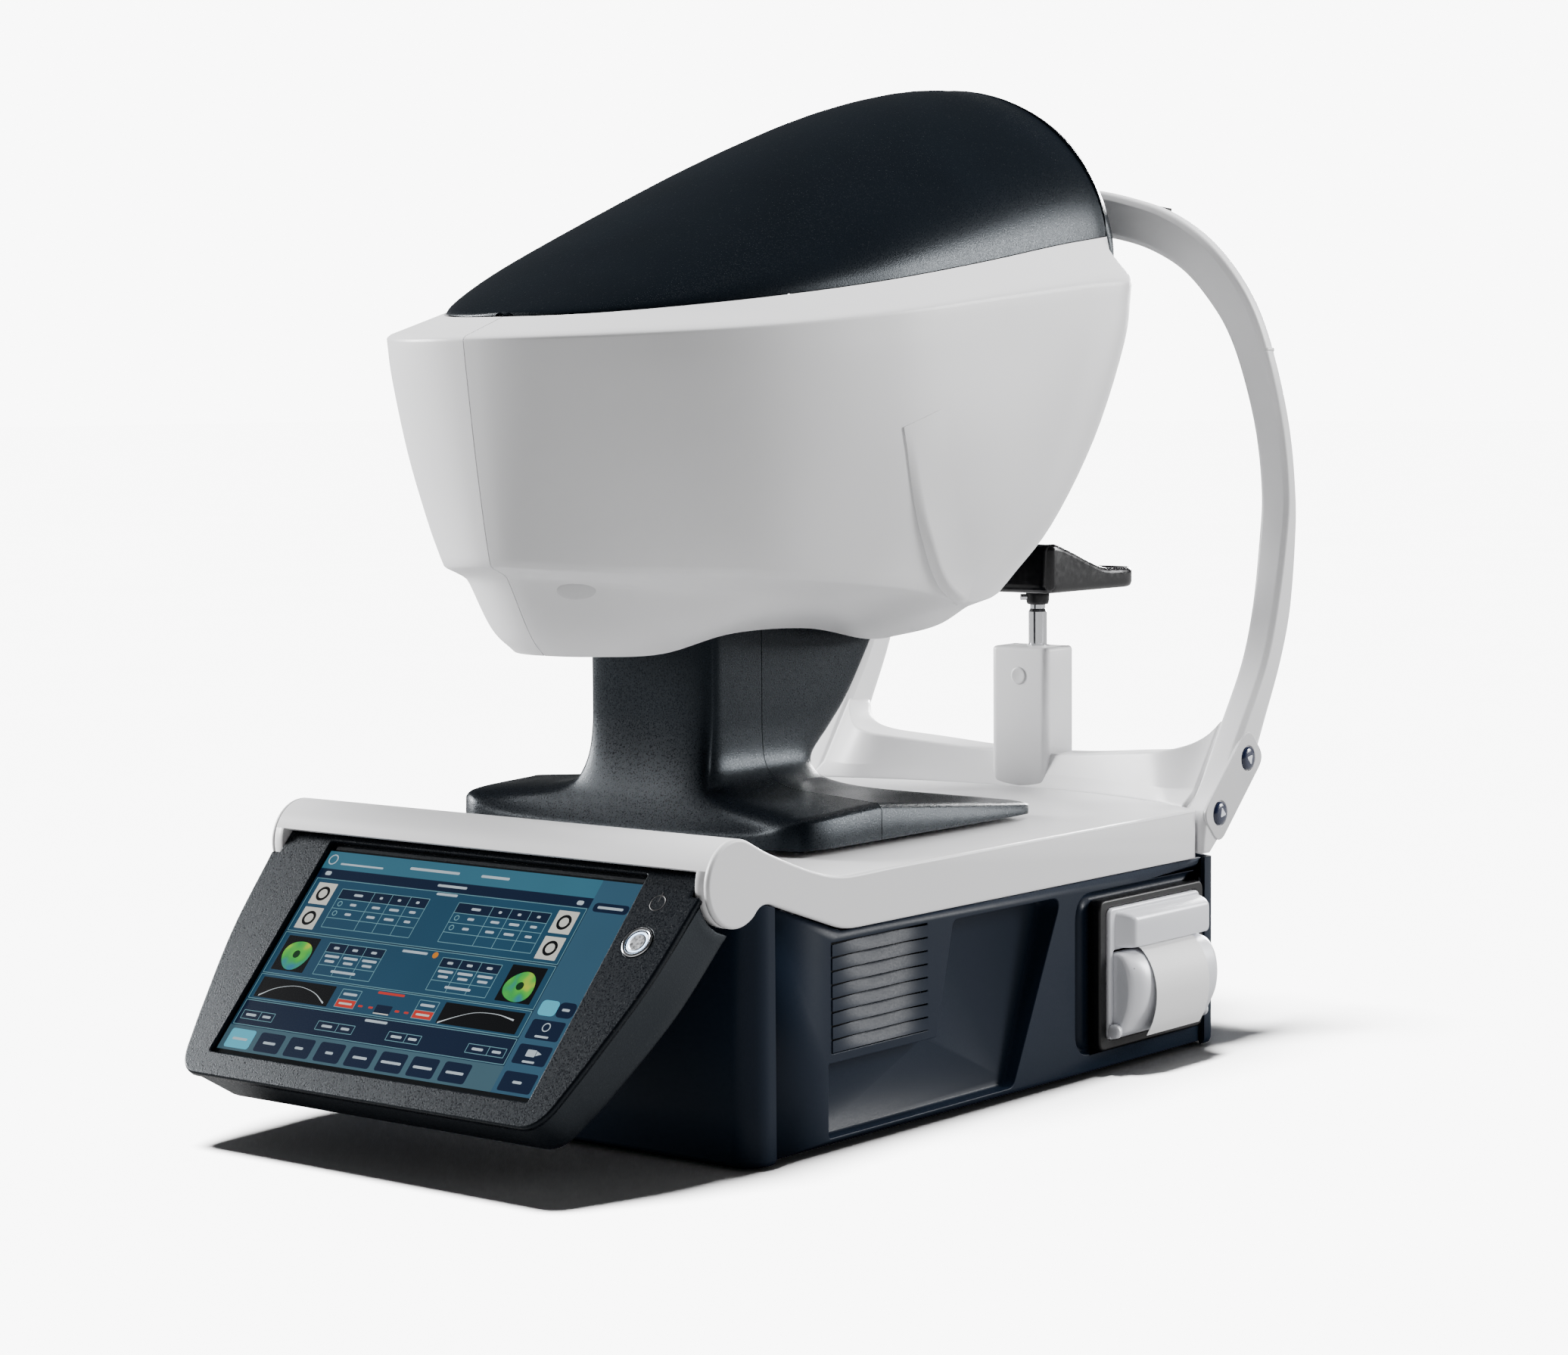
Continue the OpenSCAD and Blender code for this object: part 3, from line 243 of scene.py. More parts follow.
WHITE = moulded("white_moulding", (0.78, 0.78, 0.79), 0.36, 1100, 0.000012, 0.012, gloss=0.4)
DARK = sparkling("textured_charcoal", (0.0035, 0.0052, 0.0075), 0.3, 1500, 0.2, 0.00006, 0.16)
CASE = sparkling("textured_case", (0.0035, 0.0046, 0.0066), 0.3, 1300, 0.6, 0.00006, 0.12)
BASE = moulded("blue_grey_moulding", (0.0075, 0.0135, 0.0255), 0.42, 1200, 0.000015, 0.06, gloss=0.11)
BLACK = moulded("black_moulding", (0.005, 0.005, 0.006), 0.4, 900, 0.00002, 0.1, gloss=0.3)
PAD = moulded("black_pad", (0.003, 0.003, 0.004), 0.2, 300, 0.000001, 0.1, gloss=0.4)
RUBBER = moulded("black_rubber", (0.02, 0.02, 0.02), 0.75, 500, 0.00005, 0.15)
CHROME = metal("polished_rod", (0.62, 0.63, 0.65), 0.12, (1, 1, 6), 500)
STEEL = metal("bright_steel", (0.5, 0.51, 0.53), 0.28, (8, 8, 1), 300)
ALLOY = metal("machined_alloy", (0.56, 0.57, 0.6), 0.38, (1, 1, 1), 500, 0.00002)
MOTOR = moulded("motor_paint", (0.03, 0.031, 0.034), 0.45, 800, 0.00002, 0.1)
BOARD = moulded("circuit_board", (0.012, 0.10, 0.045), 0.42, 600, 0.00003, 0.2)
SILVER = moulded("silver_moulding", (0.78, 0.79, 0.83), 0.36, 1400, 0.00001, 0.03, metal=0.15)
PAPER = moulded("thermal_paper", (0.86, 0.86, 0.86), 0.55, 1500, 0.00001, 0.02)
NAVY = moulded("navy_button", (0.006, 0.012, 0.045), 0.25, 900, 0.00001, 0.1, coat=0.3)
PLUG = moulded("grey_plug", (0.62, 0.62, 0.63), 0.4, 900, 0.00002, 0.03)
RING = moulded("white_light_ring", (0.7, 0.7, 0.72), 0.4, 900, 0.00002, 0.03)
WINDOW = glassy("dark_window", (0.012, 0.014, 0.02), 0.85)
LENS = glassy("coated_lens", (0.35, 0.5, 0.6), 0.45)
SCREEN = glassy("screen_glass", (0.004, 0.005, 0.006), 1.0, 0.06)
CASE_SIDE = sparkling("textured_case_side", (0.004, 0.005, 0.007), 0.45, 1300, 0.2, 0.00005)
BRUSHED = metal("brushed_button", (0.55, 0.56, 0.58), 0.3, (1, 1, 1), 700, 0.00001)
ARROW = moulded("pale_arrow", (0.75, 0.78, 0.85), 0.4, 900, 0.00001, 0.02)
INK = moulded("faint_ink", (0.16, 0.16, 0.18), 0.6, 1500, 0.00001, 0.2)
DISPLAY = {
    "ground": (34, 62, 84), "header": (62, 116, 138), "column": (58, 96, 120), "foot": (72, 104, 118),
    "panel": (40, 78, 104), "navy": (20, 36, 62), "black": (12, 14, 18), "line": (120, 170, 180),
    "white": (225, 225, 215), "red": (215, 60, 52), "cyan": (90, 200, 228), "mark": (196, 212, 222),
    "pupil": (20, 60, 30), "orange": (230, 140, 40), "slit": (225, 235, 240)}
PICTURE = {name: lit(f"picture_{name}", srgb(*rgb), GLOW) for name, rgb in DISPLAY.items()}
PICTURE["map"] = eye_map("picture_map")
LED = lit("button_light", srgb(190, 220, 255), 5.0)

NODE_MATERIALS = {
    BASE: ["base_housing"],
    WHITE: ["top_cover", "face_frame", "head_left_shell", "head_right_shell", "chin_lift_cover"],
    DARK: ["pedestal_front_cover", "pedestal_rear_cover", "head_top_cover", "head_rear_cover"],
    CASE: ["screen_back", "screen_bezel"],
    BLACK: ["rear_panel", "power_inlet", "fan_frame", "fan_rotor", "printer_frame", "paper_spindle"],
    PAD: ["forehead_rest", "chin_rest"],
    RUBBER: ["rubber_feet", "platen_roller"],
    CHROME: ["y_rails", "x_rails", "lift_shafts", "chin_rod", "rod_collar"],
    STEEL: ["hinge_shaft", "y_screw", "x_screw", "lift_screw", "cover_screw", "chin_screw", "power_button",
            "button_ring", "power_supply"],
    ALLOY: ["chassis_plate", "y_carriage", "x_carriage", "head_chassis"],
    MOTOR: ["y_motor", "x_motor", "lift_motor", "chin_motor", "optics_barrel", "wavefront_camera"],
    BOARD: ["main_board"],
    SILVER: ["printer_body", "printer_door", "printer_hinge"],
    PAPER: ["paper_roll", "receipt"],
    NAVY: ["up_button", "down_button"],
    PLUG: ["head_plug", "button_panel"],
    RING: ["ring_target"],
    WINDOW: ["window_glass"],
    LENS: ["objective_lens"],
    SCREEN: ["display_panel"],
}


def dress(obj, material):
    obj.data.materials.clear()
    obj.data.materials.append(material)


for material, names in NODE_MATERIALS.items():
    for node_name in names:
        dress(NODES[node_name], material)


# ---- mesh tools -----------------------------------------------------------------------------


def add_object(name, mesh, material, body, replaced=(), slot=None, smooth=True):
    if smooth:
        mesh.shade_smooth()
    obj = bpy.data.objects.new(name, mesh)
    bpy.context.collection.objects.link(obj)
    if material is not None:
        dress(obj, material)
    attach(obj, body)
    if replaced:
        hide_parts(*replaced)
    return obj


def blend(a, b, c, d, t):
    return 0.5 * (2 * b + (c - a) * t + (2 * a - 5 * b + 4 * c - d) * t * t
                  + (3 * b - a - 3 * c + d) * t * t * t)


def mirrored(p):
    return Vector((-p[0], p[1], p[2]))


def curve(points, steps, even=False):
    """A smooth curve through control points; an even one starts square to X."""
    p = [Vector(q) for q in points]
    first = mirrored(p[1]) if even else 2 * p[0] - p[1]
    q = [first, *p, 2 * p[-1] - p[-2]]
    out = [blend(*q[i - 1:i + 3], k / steps) for i in range(1, len(p)) for k in range(steps)]
    return [*out, p[-1]]


def grid_mesh(name, grid, flip=False):
    """Quads over rows of points in mm."""
    rows, cols = len(grid), len(grid[0])
    verts = [place(p) for row in grid for p in row]
    faces = []
    for i in range(rows - 1):
        for j in range(cols - 1):
            at = i * cols + j
            quad = (at, at + 1, at + cols + 1, at + cols)
            faces.append(quad[::-1] if flip else quad)
    mesh = bpy.data.meshes.new(name)
    mesh.from_pydata(verts, [], faces)
    mesh.update()
    return mesh


def mesh_of(bm, name):
    """A mesh from finished faces, all turned outwards."""
    bmesh.ops.recalc_face_normals(bm, faces=bm.faces)
    mesh = bpy.data.meshes.new(name)
    bm.to_mesh(mesh)
    bm.free()
    return mesh


def solidify(obj, thickness, offset=-1.0):
    """Gives a skin its wall, with crisp rims."""
    uses = {}
    for face in obj.data.polygons:
        for key in face.edge_keys:
            uses[key] = uses.get(key, 0) + 1
    for edge in obj.data.edges:
        edge.use_edge_sharp = uses.get(edge.key, 0) == 1 or edge.use_edge_sharp
    mod = obj.modifiers.new("wall", "SOLIDIFY")
    mod.thickness = thickness * MM
    mod.offset = offset
    mod.use_even_offset = True


def skin(name, grid, wall, material, body, replaced=(), slot=None, flip=False, offset=-1.0):
    """A shell over rows of points."""
    obj = add_object(name, grid_mesh(name, grid, flip), material, body, replaced, slot)
    solidify(obj, wall, offset)
    return obj


# ---- flat and turned pieces -----------------------------------------------------------------


def bend(a, b, c, steps, first=0):
    """Points of an arc from a to c that is drawn towards b."""
    return [(1 - t) ** 2 * a + 2 * (1 - t) * t * b + t * t * c for t in
            (k / steps for k in range(first, steps + 1))]


def outline(points, radii, steps=6, even=False):
    """A closed outline, counter-clockwise, its corners turned into curves; an even one keeps its count."""
    n, out = len(points), []
    for i in range(n):
        a, b, c = (Vector(points[(i + k) % n]) for k in (-1, 0, 1))
        r = radii[i] if isinstance(radii, (list, tuple)) else radii
        u, v = (a - b).normalized(), (c - b).normalized()
        reach = r / max(math.tan(u.angle(v) / 2), 0.01)
        reach = min(reach, 0.48 * (a - b).length, 0.48 * (c - b).length)
        if reach < 0.02 and not even:
            out.append(b)
            continue
        reach = max(reach, 0.02)
        p, q = b + u * reach, b + v * reach
        out += bend(p, b, q, steps)
    return out


def box_outline(x0, x1, y0, y1, r, steps=5):
    return outline([(x0, y0), (x1, y0), (x1, y1), (x0, y1)], r, steps)


def circle_outline(x, y, r, steps=48):
    return [Vector((x + r * math.cos(a), y + r * math.sin(a))) for a in
            (2 * math.pi * k / steps for k in range(steps))]


def moved_in(loop, t):
    """The same closed outline moved in by t."""
    n, out = len(loop), []
    for i in range(n):
        u = (loop[i] - loop[i - 1]).normalized()
        v = (loop[(i + 1) % n] - loop[i]).normalized()
        a, b = Vector((-u.y, u.x)), Vector((-v.y, v.x))
        m = (a + b).normalized() if (a + b).length > 1e-6 else a
        out.append(loop[i] + m * (t / max(m.dot(a), 0.35)))
    return out


def slab(name, outer, holes, z0, z1, lip, where, material, body, replaced=(), slot=None, hole_lip=None):
    """A plate with rounded front edges: its outline and holes in its own plane, placed by where."""
    bm = bmesh.new()
    hole_lip = lip if hole_lip is None else hole_lip
    tops, lows = [], []
    for way, r, loop in [(1, lip, outer)] + [(-1, hole_lip, h) for h in holes]:
        path = [(0, z0), (0, z1 - r)]
        if r > 0:
            path += [(r * (1 - math.cos(a)), z1 - r + r * math.sin(a)) for a in
                     (math.pi / 2 * k / 4 for k in range(1, 5))]
            path.append((r + 0.2, z1))
        rings = [[bm.verts.new(place(where(p.x, p.y, z))) for p in moved_in(loop, way * d)] for d, z in path]
        for a, b in zip(rings, rings[1:]):
            for i in range(len(a)):
                k = (i + 1) % len(a)
                bm.faces.new((a[i], a[k], b[k], b[i]))
        tops.append(rings[-1])
        lows.append(rings[0])
    for caps in (tops, lows):
        edges = []
        for loop in caps:
            for i in range(len(loop)):
                pair = (loop[i], loop[(i + 1) % len(loop)])
                edges.append(bm.edges.get(pair) or bm.edges.new(pair))
        bmesh.ops.triangle_fill(bm, use_beauty=True, edges=edges)
    return add_object(name, mesh_of(bm, name), material, body, replaced, slot)


def loft(name, rings, material, body, replaced=(), slot=None, capped=(True, True)):
    """A skin through closed rings of design points, with flat ends."""
    bm = bmesh.new()
    rows = [[bm.verts.new(place(p)) for p in ring] for ring in rings]
    for a, b in zip(rows, rows[1:]):
        for i in range(len(a)):
            k = (i + 1) % len(a)
            bm.faces.new((a[i], a[k], b[k], b[i]))
    for use, row in zip(capped, (rows[0], rows[-1])):
        if use:
            bm.faces.new(row)
    bmesh.ops.remove_doubles(bm, verts=bm.verts, dist=1e-7)
    return add_object(name, mesh_of(bm, name), material, body, replaced, slot)


def turned(name, profile, where, material, body, replaced=(), slot=None, steps=48, squash=1.0):
    """A turned piece from (radius, height) pairs about its own axis."""
    rings = []
    for r, h in profile:
        r = max(r, 0.001)
        rings.append([where(r * math.cos(a), squash * r * math.sin(a), h) for a in
                      (2 * math.pi * k / steps for k in range(steps))])
    return loft(name, rings, material, body, replaced, slot, (profile[0][0] > 0.01, profile[-1][0] > 0.01))


def sharp(obj, degrees=35):
    """Keeps an object's real corners crisp under smooth shading."""
    obj.data.shade_smooth()
    bm = bmesh.new()
    bm.from_mesh(obj.data)
    for edge in bm.edges:
        if len(edge.link_faces) == 2 and edge.calc_face_angle(0) > math.radians(degrees):
            edge.smooth = False
    bm.to_mesh(obj.data)
    bm.free()
    return obj


# ---- screen ---------------------------------------------------------------------------------

FACE_Z = 16.0
CASE_Z = -16.5
GLASS_Z = 12.9
ARC_R = 25.3
EAR_X = 147.0


def on_screen(x, y, z):
    c, s = math.cos(TILT), math.sin(TILT)
    return Vector((x, y * c - z * s, ROLL_Z + y * s + z * c))


def case_loop(z, t=0.0, tongue=False):
    """Outline of the screen's casing at height z over the hinge axis, moved in by t."""
    k = (FACE_Z - z) / (FACE_Z - CASE_Z)
    top = -math.sqrt(ARC_R ** 2 - z * z)
    side = [(152.6, top, 0), (148 - k, -71, 0), (137.6 - 4 * k, -119, 0), (131.4 - 6 * k, -143 + 3 * k, 0)]
    right = [Vector((p.x, p.y)) for p in curve(side, 8)][1:]
    corner = Vector((127.2 - 7 * k, -159.6 + 5.5 * k))
    a, b = right[-1], Vector((115 - 7 * k, -159.6 + 5.5 * k))
    right += bend(a, corner, b, 8, 1)
    shoulder = [Vector((146.4, 8.0)) if tongue else Vector((146.4, top + 0.02)), Vector((146.6, top)),
                Vector((151.2, top)), Vector((152.3, top - 0.5)), Vector((152.6, top - 1.8))]
    half = shoulder + right
    loop = [Vector((-p.x, p.y)) for p in half] + [p for p in reversed(half)]
    return moved_in(loop, t) if t else loop


bezel_holes = [box_outline(-113, 113, -145.5, -9.3, 1.6), circle_outline(128.4, -49.3, 9.1)]
slab("bezel_skin", case_loop(FACE_Z, 0, True), bezel_holes, 12.6, FACE_Z, 1.1, on_screen, CASE, "screen",
     ["screen_bezel"], "screen_case", 0.7)
rings = []
for z, t in ((12.6, 0), (12.5, 0.35), (11.8, 0.4), (6, 0.4), (0, 0.4), (-7, 0.4), (-13, 0.4), (-14.9, 0.9),
             (-16, 2.0), (CASE_Z, 3.4)):
    rings.append([on_screen(p.x, p.y, z) for p in case_loop(z, t)])
sharp(loft("casing_skin", rings, CASE_SIDE, "screen", ["screen_back"], "screen_case", (False, True)), 50)


def picture(x, y, level=0):
    """A point on the glass: layers of the shown picture lie 0.03 mm apart."""
    return on_screen(x, y, GLASS_Z + 0.03 + 0.03 * level)


def shown(name, loops, shade, level):
    """Flat shapes of one colour shown by the display, in one mesh."""
    bm = bmesh.new()
    for loop in loops:
        top = [bm.verts.new(place(picture(p[0], p[1], level + 0.8))) for p in loop]
        low = [bm.verts.new(place(picture(p[0], p[1], level - 0.2))) for p in loop]
        bm.faces.new(top)
        for i in range(len(loop)):
            k = (i + 1) % len(loop)
            bm.faces.new((top[i], low[i], low[k], top[k]))
    return add_object(name, mesh_of(bm, name), PICTURE[shade], "screen", smooth=False)


def dash(x, y, width, height=1.5):
    """A short bar that stands where a value would be shown."""
    return box_outline(x - width / 2, x + width / 2, y - height / 2, y + height / 2, height / 2.2, 2)


def table_lines(x0, x1, y0, y1, columns, rows):
    t = 0.17
    lines = [box_outline(x0, x1, y - t, y + t, 0.1, 1) for y in [y0, y1, *rows]]
    return lines + [box_outline(x - t, x + t, y0, y1, 0.1, 1) for x in [x0, x1, *columns]]


def hoop(x, y, r, t, steps=28):
    """A ring drawn as one outline with a hair-thin cut."""
    turn = [2 * math.pi * (k + 0.02) / steps for k in range(steps)] + [2 * math.pi * 0.999]
    out = [Vector((x + r * math.cos(a), y + r * math.sin(a))) for a in turn]
    return out + [Vector((x + (r - t) * math.cos(a), y + (r - t) * math.sin(a))) for a in reversed(turn)]


def show_picture():
    lines, marks, navy, panels, dark, white, red, cyan = [], [], [], [], [], [], [], []
    shown("picture_ground", [box_outline(-112.4, 112, -141.7, -14, 0.4, 2)], "ground", 0)
    shown("picture_header", [box_outline(-112.4, 84, -25.2, -14, 0.2, 1)], "header", 1)
    shown("picture_column", [box_outline(84, 112, -141.7, -14, 0.2, 1)], "column", 1)
    shown("picture_foot", [box_outline(-112.4, 84, -141.7, -126.6, 0.2, 1)], "foot", 1)
    navy.append(box_outline(-112.4, 84, -31.2, -25.5, 0.2, 1))
    for y0, y1 in ((-66, -31.8), (-93.2, -67.2), (-109.6, -94.2)):
        panels.append(box_outline(-110.6, 83, y0, y1, 1.2, 3))
        lines += table_lines(-110.8, 83.2, y0, y1, [], [])
    navy.append(box_outline(-110.6, 83, -125.9, -110.8, 1.2, 3))
    lines += table_lines(-110.8, 83.2, -125.9, -110.8, [], [])
    # value tables of the right and left eye
    for x in (-88.3, -2.5):
        lines += table_lines(x, x + 64.8, -61.6, -36.9, [x + 24.5, x + 37.8, x + 51.2], [-43.2, -49.3, -55.4])
        navy.append(box_outline(x, x + 64.8, -43.2, -36.9, 0.2, 1))
        for dx, w in ((14, 6.5), (31, 2.2), (44.4, 2.4), (57.8, 2.4)):
            marks.append(dash(x + dx, -40, w))
        for y in (-46.2, -52.3):
            marks += [dash(x + 14, y, 4.6), dash(x + 31, y, 6), dash(x + 44.4, y, 7), dash(x + 57.8, y, 4.6)]
            lines.append(hoop(x + 4, y, 1.7, 0.5, 16))
    for x in (-75.3, 7.2):
        lines += table_lines(x, x + 41.5, -90.4, -70.4, [x + 13.7, x + 27.4], [-76.2, -84.2])
        navy.append(box_outline(x, x + 41.5, -76.2, -70.4, 0.2, 1))
        for dx in (6.8, 20.5, 34.4):
            marks += [dash(x + dx, -73.3, 4), dash(x + dx, -78.6, 10.5), dash(x + dx, -81.7, 7)]
        marks.append(dash(x + 20.7, -87.4, 18))
    # dark cells of the third and fourth panels
    for x0, x1, y0, y1 in ((-107.8, -53.3, -108.4, -95.8), (25.5, 80, -108.4, -95.8)):
        dark.append(box_outline(x0, x1, y0, y1, 0.3, 1))
    for x in (-48, 7.6):
        lines += table_lines(x, x + 13.8, -107.6, -96.6, [], [-102.6])
        marks.append(dash(x + 6.9, -99.4, 10))
        red.append(box_outline(x + 0.2, x + 13.6, -107.4, -102.8, 0.2, 1))
    navy.append(box_outline(-19.2, -8, -108.2, -102.8, 0.3, 1))
    white += [dash(-41.1, -105.1, 9.5, 1.2), dash(14.5, -105.1, 9.5, 1.2), dash(-13.6, -108, 11, 0.7)]
    red += [dash(x, -105.2, 3.2, 1.2) for x in (-30, -22.6, -3.6, 3)] + [dash(-13.6, -95.8, 19, 1.4)]
    for x0, x1 in ((-108, -84.7), (-52.3, -25.7), (-1.2, 21.8), (54.5, 80.4)):
        mid = x0 + 0.56 * (x1 - x0)
        lines += table_lines(x0, x1, -122.3, -117.1, [mid], [])
        marks += [dash((x0 + mid) / 2, -119.7, 7.6), dash((mid + x1) / 2, -119.7, 6)]
    # headings and the strip over the panels
    marks += [dash(*bar) for bar in
              ((-105, -28.2, 4.5, 2.6), (-13, -28, 21), (77, -28.8, 4.5, 2.6), (-13.5, -33.2, 15),
               (-13.5, -69.6, 18), (-13.5, -112.8, 16), (-31, -19.6, 36, 1.6), (12.6, -19.6, 20, 1.6),
               (-84, -21.6, 32, 1.1))]
    marks.append(hoop(-107, -19.4, 3.3, 0.7))
    # tiles with test rings beside the value tables
    for x in (-100.4, 73.2):
        for y in (-41.3, -57.2):
            white.append(box_outline(x - 7, x + 7, y - 6.9, y + 6.9, 0.3, 1))
    rings = [hoop(x, y, 4.6, 1.7) for x in (-100.4, 73.2) for y in (-41.3, -57.2)]
    # tabs along the foot and buttons of the column
    for k in range(8):
        x = -108.7 + 22.15 * k
        loop = box_outline(x, x + 18.2, -140.2, -128.6, 1.8, 4)
        (cyan if k == 0 else navy).append(loop)
        marks.append(dash(x + 9.1, -134.6, (11, 9, 6, 5.5, 10, 14, 13, 12)[k]))
    navy += [box_outline(86.8, 108.6, y - 11.4, y, 1.6, 4) for y in (-98, -112.6, -128.6)]
    navy += [box_outline(86.6, 110, -33, -27.5, 2.6, 4), box_outline(98.4, 110, -95.6, -86.6, 3.5, 5)]
    cyan.append(box_outline(86.6, 98.4, -95.6, -86.6, 3, 5))
    marks += [dash(97.5, -107.6, 9, 1.2), dash(97.5, -122.4, 8, 1.2), dash(97.5, -134.4, 6), dash(98, -30.2, 17),
              dash(104, -91, 5), hoop(97.5, -102, 2.6, 0.6)]
    marks.append(box_outline(93.6, 99.6, -119.4, -115.4, 0.5, 2))
    marks.append([Vector(p) for p in ((100, -118.6), (103.4, -117.2), (100, -115.8))])
    shown("picture_panels", panels, "panel", 2)
    shown("picture_fields", navy, "navy", 3)
    shown("picture_strips", dark, "black", 3)
    shown("picture_lines", lines, "line", 4)
    shown("picture_tiles", white, "white", 5)
    shown("picture_rings", rings, "black", 6)
    shown("picture_alerts", red, "red", 4)
    shown("picture_live", cyan, "cyan", 4)
    shown("picture_marks", marks, "mark", 6)
    # maps of the front of each eye on black cells
    cells = [box_outline(a, b, -90.8, -69, 0.3, 1) for a, b in ((-106.8, -83), (55.3, 79))]
    shown("picture_cells", cells, "black", 3)
    for label, x, y in (("left", -94.4, -80.6), ("right", 67, -81.6)):
        loop = [Vector((x + r * math.cos(a), y + 0.9 * r * math.sin(a))) for a, r in
                ((2 * math.pi * k / 40, 10 + 0.5 * math.sin(3 * 2 * math.pi * k / 40 + x)) for k in range(40))]
        shown(f"picture_map_{label}", [loop], "map", 4)
        shown(f"picture_pupil_{label}", [circle_outline(x, y + 0.6, 2.4, 24)], "pupil", 5)
    shown("picture_spot", [circle_outline(1.2, -69.8, 1.9, 24)], "orange", 7)
    # bright slit sections in the black strips
    for label, x, shape in (("left", -80.6, ((-24, -5.4), (-14, 0.6), (0, 3.4), (14, 1), (24, -4.6))),
                            ("right", 52.7, ((-26, -6), (-15, -0.6), (-4, 3), (10, 3.6), (22, 1.4)))):
        line = [Vector((p.x, p.y)) for p in curve([(a, b, 0) for a, b in shape], 6)]
        n = len(line) - 1
        upper = [Vector((x + p.x, -102.28 + p.y + 0.75 * abs(2 * k / n - 1) ** 3)) for k, p in enumerate(line)]
        lower = [Vector((x + p.x, -102.52 + p.y)) for p in line]
        shown(f"picture_slit_{label}", [upper + lower[::-1]], "slit", 5)


show_picture()


def on_button(x, y, z):
    return on_screen(128.4 + x, -49.3 + y, z)


turned("power_key_skin", [(0.01, 15.9), (2, 15.92), (4.2, 15.95), (5.2, 15.9), (5.25, 15.7), (6.1, 15.7),
                          (6.2, 16.0), (6.45, 15.9), (6.6, 15.5), (6.6, 8)], on_button, BRUSHED, "power_key",
       ["power_button"], "button_metal", 64)
turned("power_halo", [(5.05, 15.72), (5.2, 15.98), (5.65, 16.04), (6.05, 15.98), (6.2, 15.72)], on_button, LED,
       "power_key", (), "led_ring", 64)
turned("power_ring_skin", [(6.9, 10), (6.9, 15.9), (7.2, 16.5), (7.8, 16.8), (8.5, 16.7), (8.9, 16.2), (8.9, 8)],
       on_button, CHROME, "screen", ["button_ring"], "chrome", 64)


def on_icon(x, y, z):
    return on_screen(128.6 + x, -25.5 + y, z)


turned("standby_mark", [(4.0, 15.9), (4.1, 16.03), (4.5, 16.06), (4.9, 16.03), (5.0, 15.9)], on_icon, BLACK,
       "screen", (), None, 40)
slab("standby_stroke", box_outline(-0.4, 0.4, 0.6, 6.6, 0.35, 3), [], 15.9, 16.06, 0.03, on_icon, BLACK, "screen")

# ---- head -----------------------------------------------------------------------------------

HEAD_ROWS = [
    [(0, 31, 434.5), (58, 48, 436), (104, 112, 443), (121, 200, 453), (124, 290, 465), (124, 370, 477),
     (123, 410, 482), (121, 427.5, 484)],
    [(0, 0, 423.4), (75, 22, 424.5), (128, 88, 429), (149, 180, 437), (151, 280, 447), (151, 365, 455),
     (149, 412, 458), (124, 431, 462)],
    [(0, 3, 400), (75, 26, 401), (129, 92, 405), (149, 180, 410), (151, 280, 415), (151, 360, 419),
     (149, 403, 420), (122, 428, 421)],
    [(0, 8.2, 362), (71, 33, 361), (125, 98, 360), (147, 180, 360), (151, 270, 360), (150, 330, 362),
     (147, 374, 364), (118, 396, 364)],
    [(0, 14, 326), (65, 41, 324), (117, 103, 321), (140, 180, 318), (148, 250, 316), (148, 300, 316),
     (144, 335, 316), (109, 355, 314)],
    [(0, 18.6, 302), (59, 46, 299), (109, 106, 296), (132, 170, 290), (138, 222, 283), (141, 256, 276),
     (134, 296, 278), (101, 326, 286)],
    [(0, 31, 296.5), (45, 50, 294), (80, 90, 289), (112, 152, 284), (118, 205, 279), (122, 250, 270),
     (112, 300, 271), (85, 332, 279)],
    [(0, 49, 264), (38, 62, 264), (70, 96, 267), (96, 145, 275), (98, 205, 270), (94, 250, 259),
     (88, 300, 258), (64, 338, 266)],
    [(0, 60, 252), (30, 70, 252), (52, 98, 253), (66, 140, 262), (67, 205, 261), (67, 258, 252),
     (58, 300, 251), (46, 330, 256)]]


def head_grid(side):
    """One half of the white skin, from the roof's edge over the ledge, down and under."""
    along = [curve(row, 10, True) for row in HEAD_ROWS]
    grid = []
    for j in range(len(along[0])):
        p = [row[j] for row in along]
        ledge = [p[0].lerp(p[1], t) for t in (0, 0.04, 0.25, 0.5, 0.75, 0.93)]
        wall = curve([p[1].lerp(p[2], 0.1), p[2], p[3], p[4], p[4].lerp(p[5], 0.8)], 5)
        under = [p[5].lerp(p[6], 0.15), p[5].lerp(p[6], 0.5), p[5].lerp(p[6], 0.85)]
        pod = curve([p[6].lerp(p[7], 0.12), p[7], p[8]], 6)
        corner = [p[1].lerp(ledge[-1], 0.35).lerp(wall[0], 0.28), p[1].lerp(ledge[-1], 0.1).lerp(wall[0], 0.55)]
        grid.append([*ledge, *corner, *wall, p[5].lerp(p[6], 0.03).lerp(p[4], 0.03), *under,
                     p[6].lerp(p[7], 0.03).lerp(p[5], 0.03), *pod])
    gap = 0.32
    return [[Vector((side * (q.x + gap) + HEAD_X, q.y, q.z)) for q in line] for line in grid]


for side, label in ((1, "right"), (-1, "left")):
    skin(f"head_{label}_skin", head_grid(side), 2.6, WHITE, "head", [f"head_{label}_shell"], "white_shell",
         side < 0)

# Side view of the crease on the right cheek, and how far it stands out.
CREASE = [(0, 186, 374), (0, 194, 348), (0, 204, 323), (0, 216, 303), (0, 229, 288),
          (0, 240, 279.5), (0, 252, 274.5)]


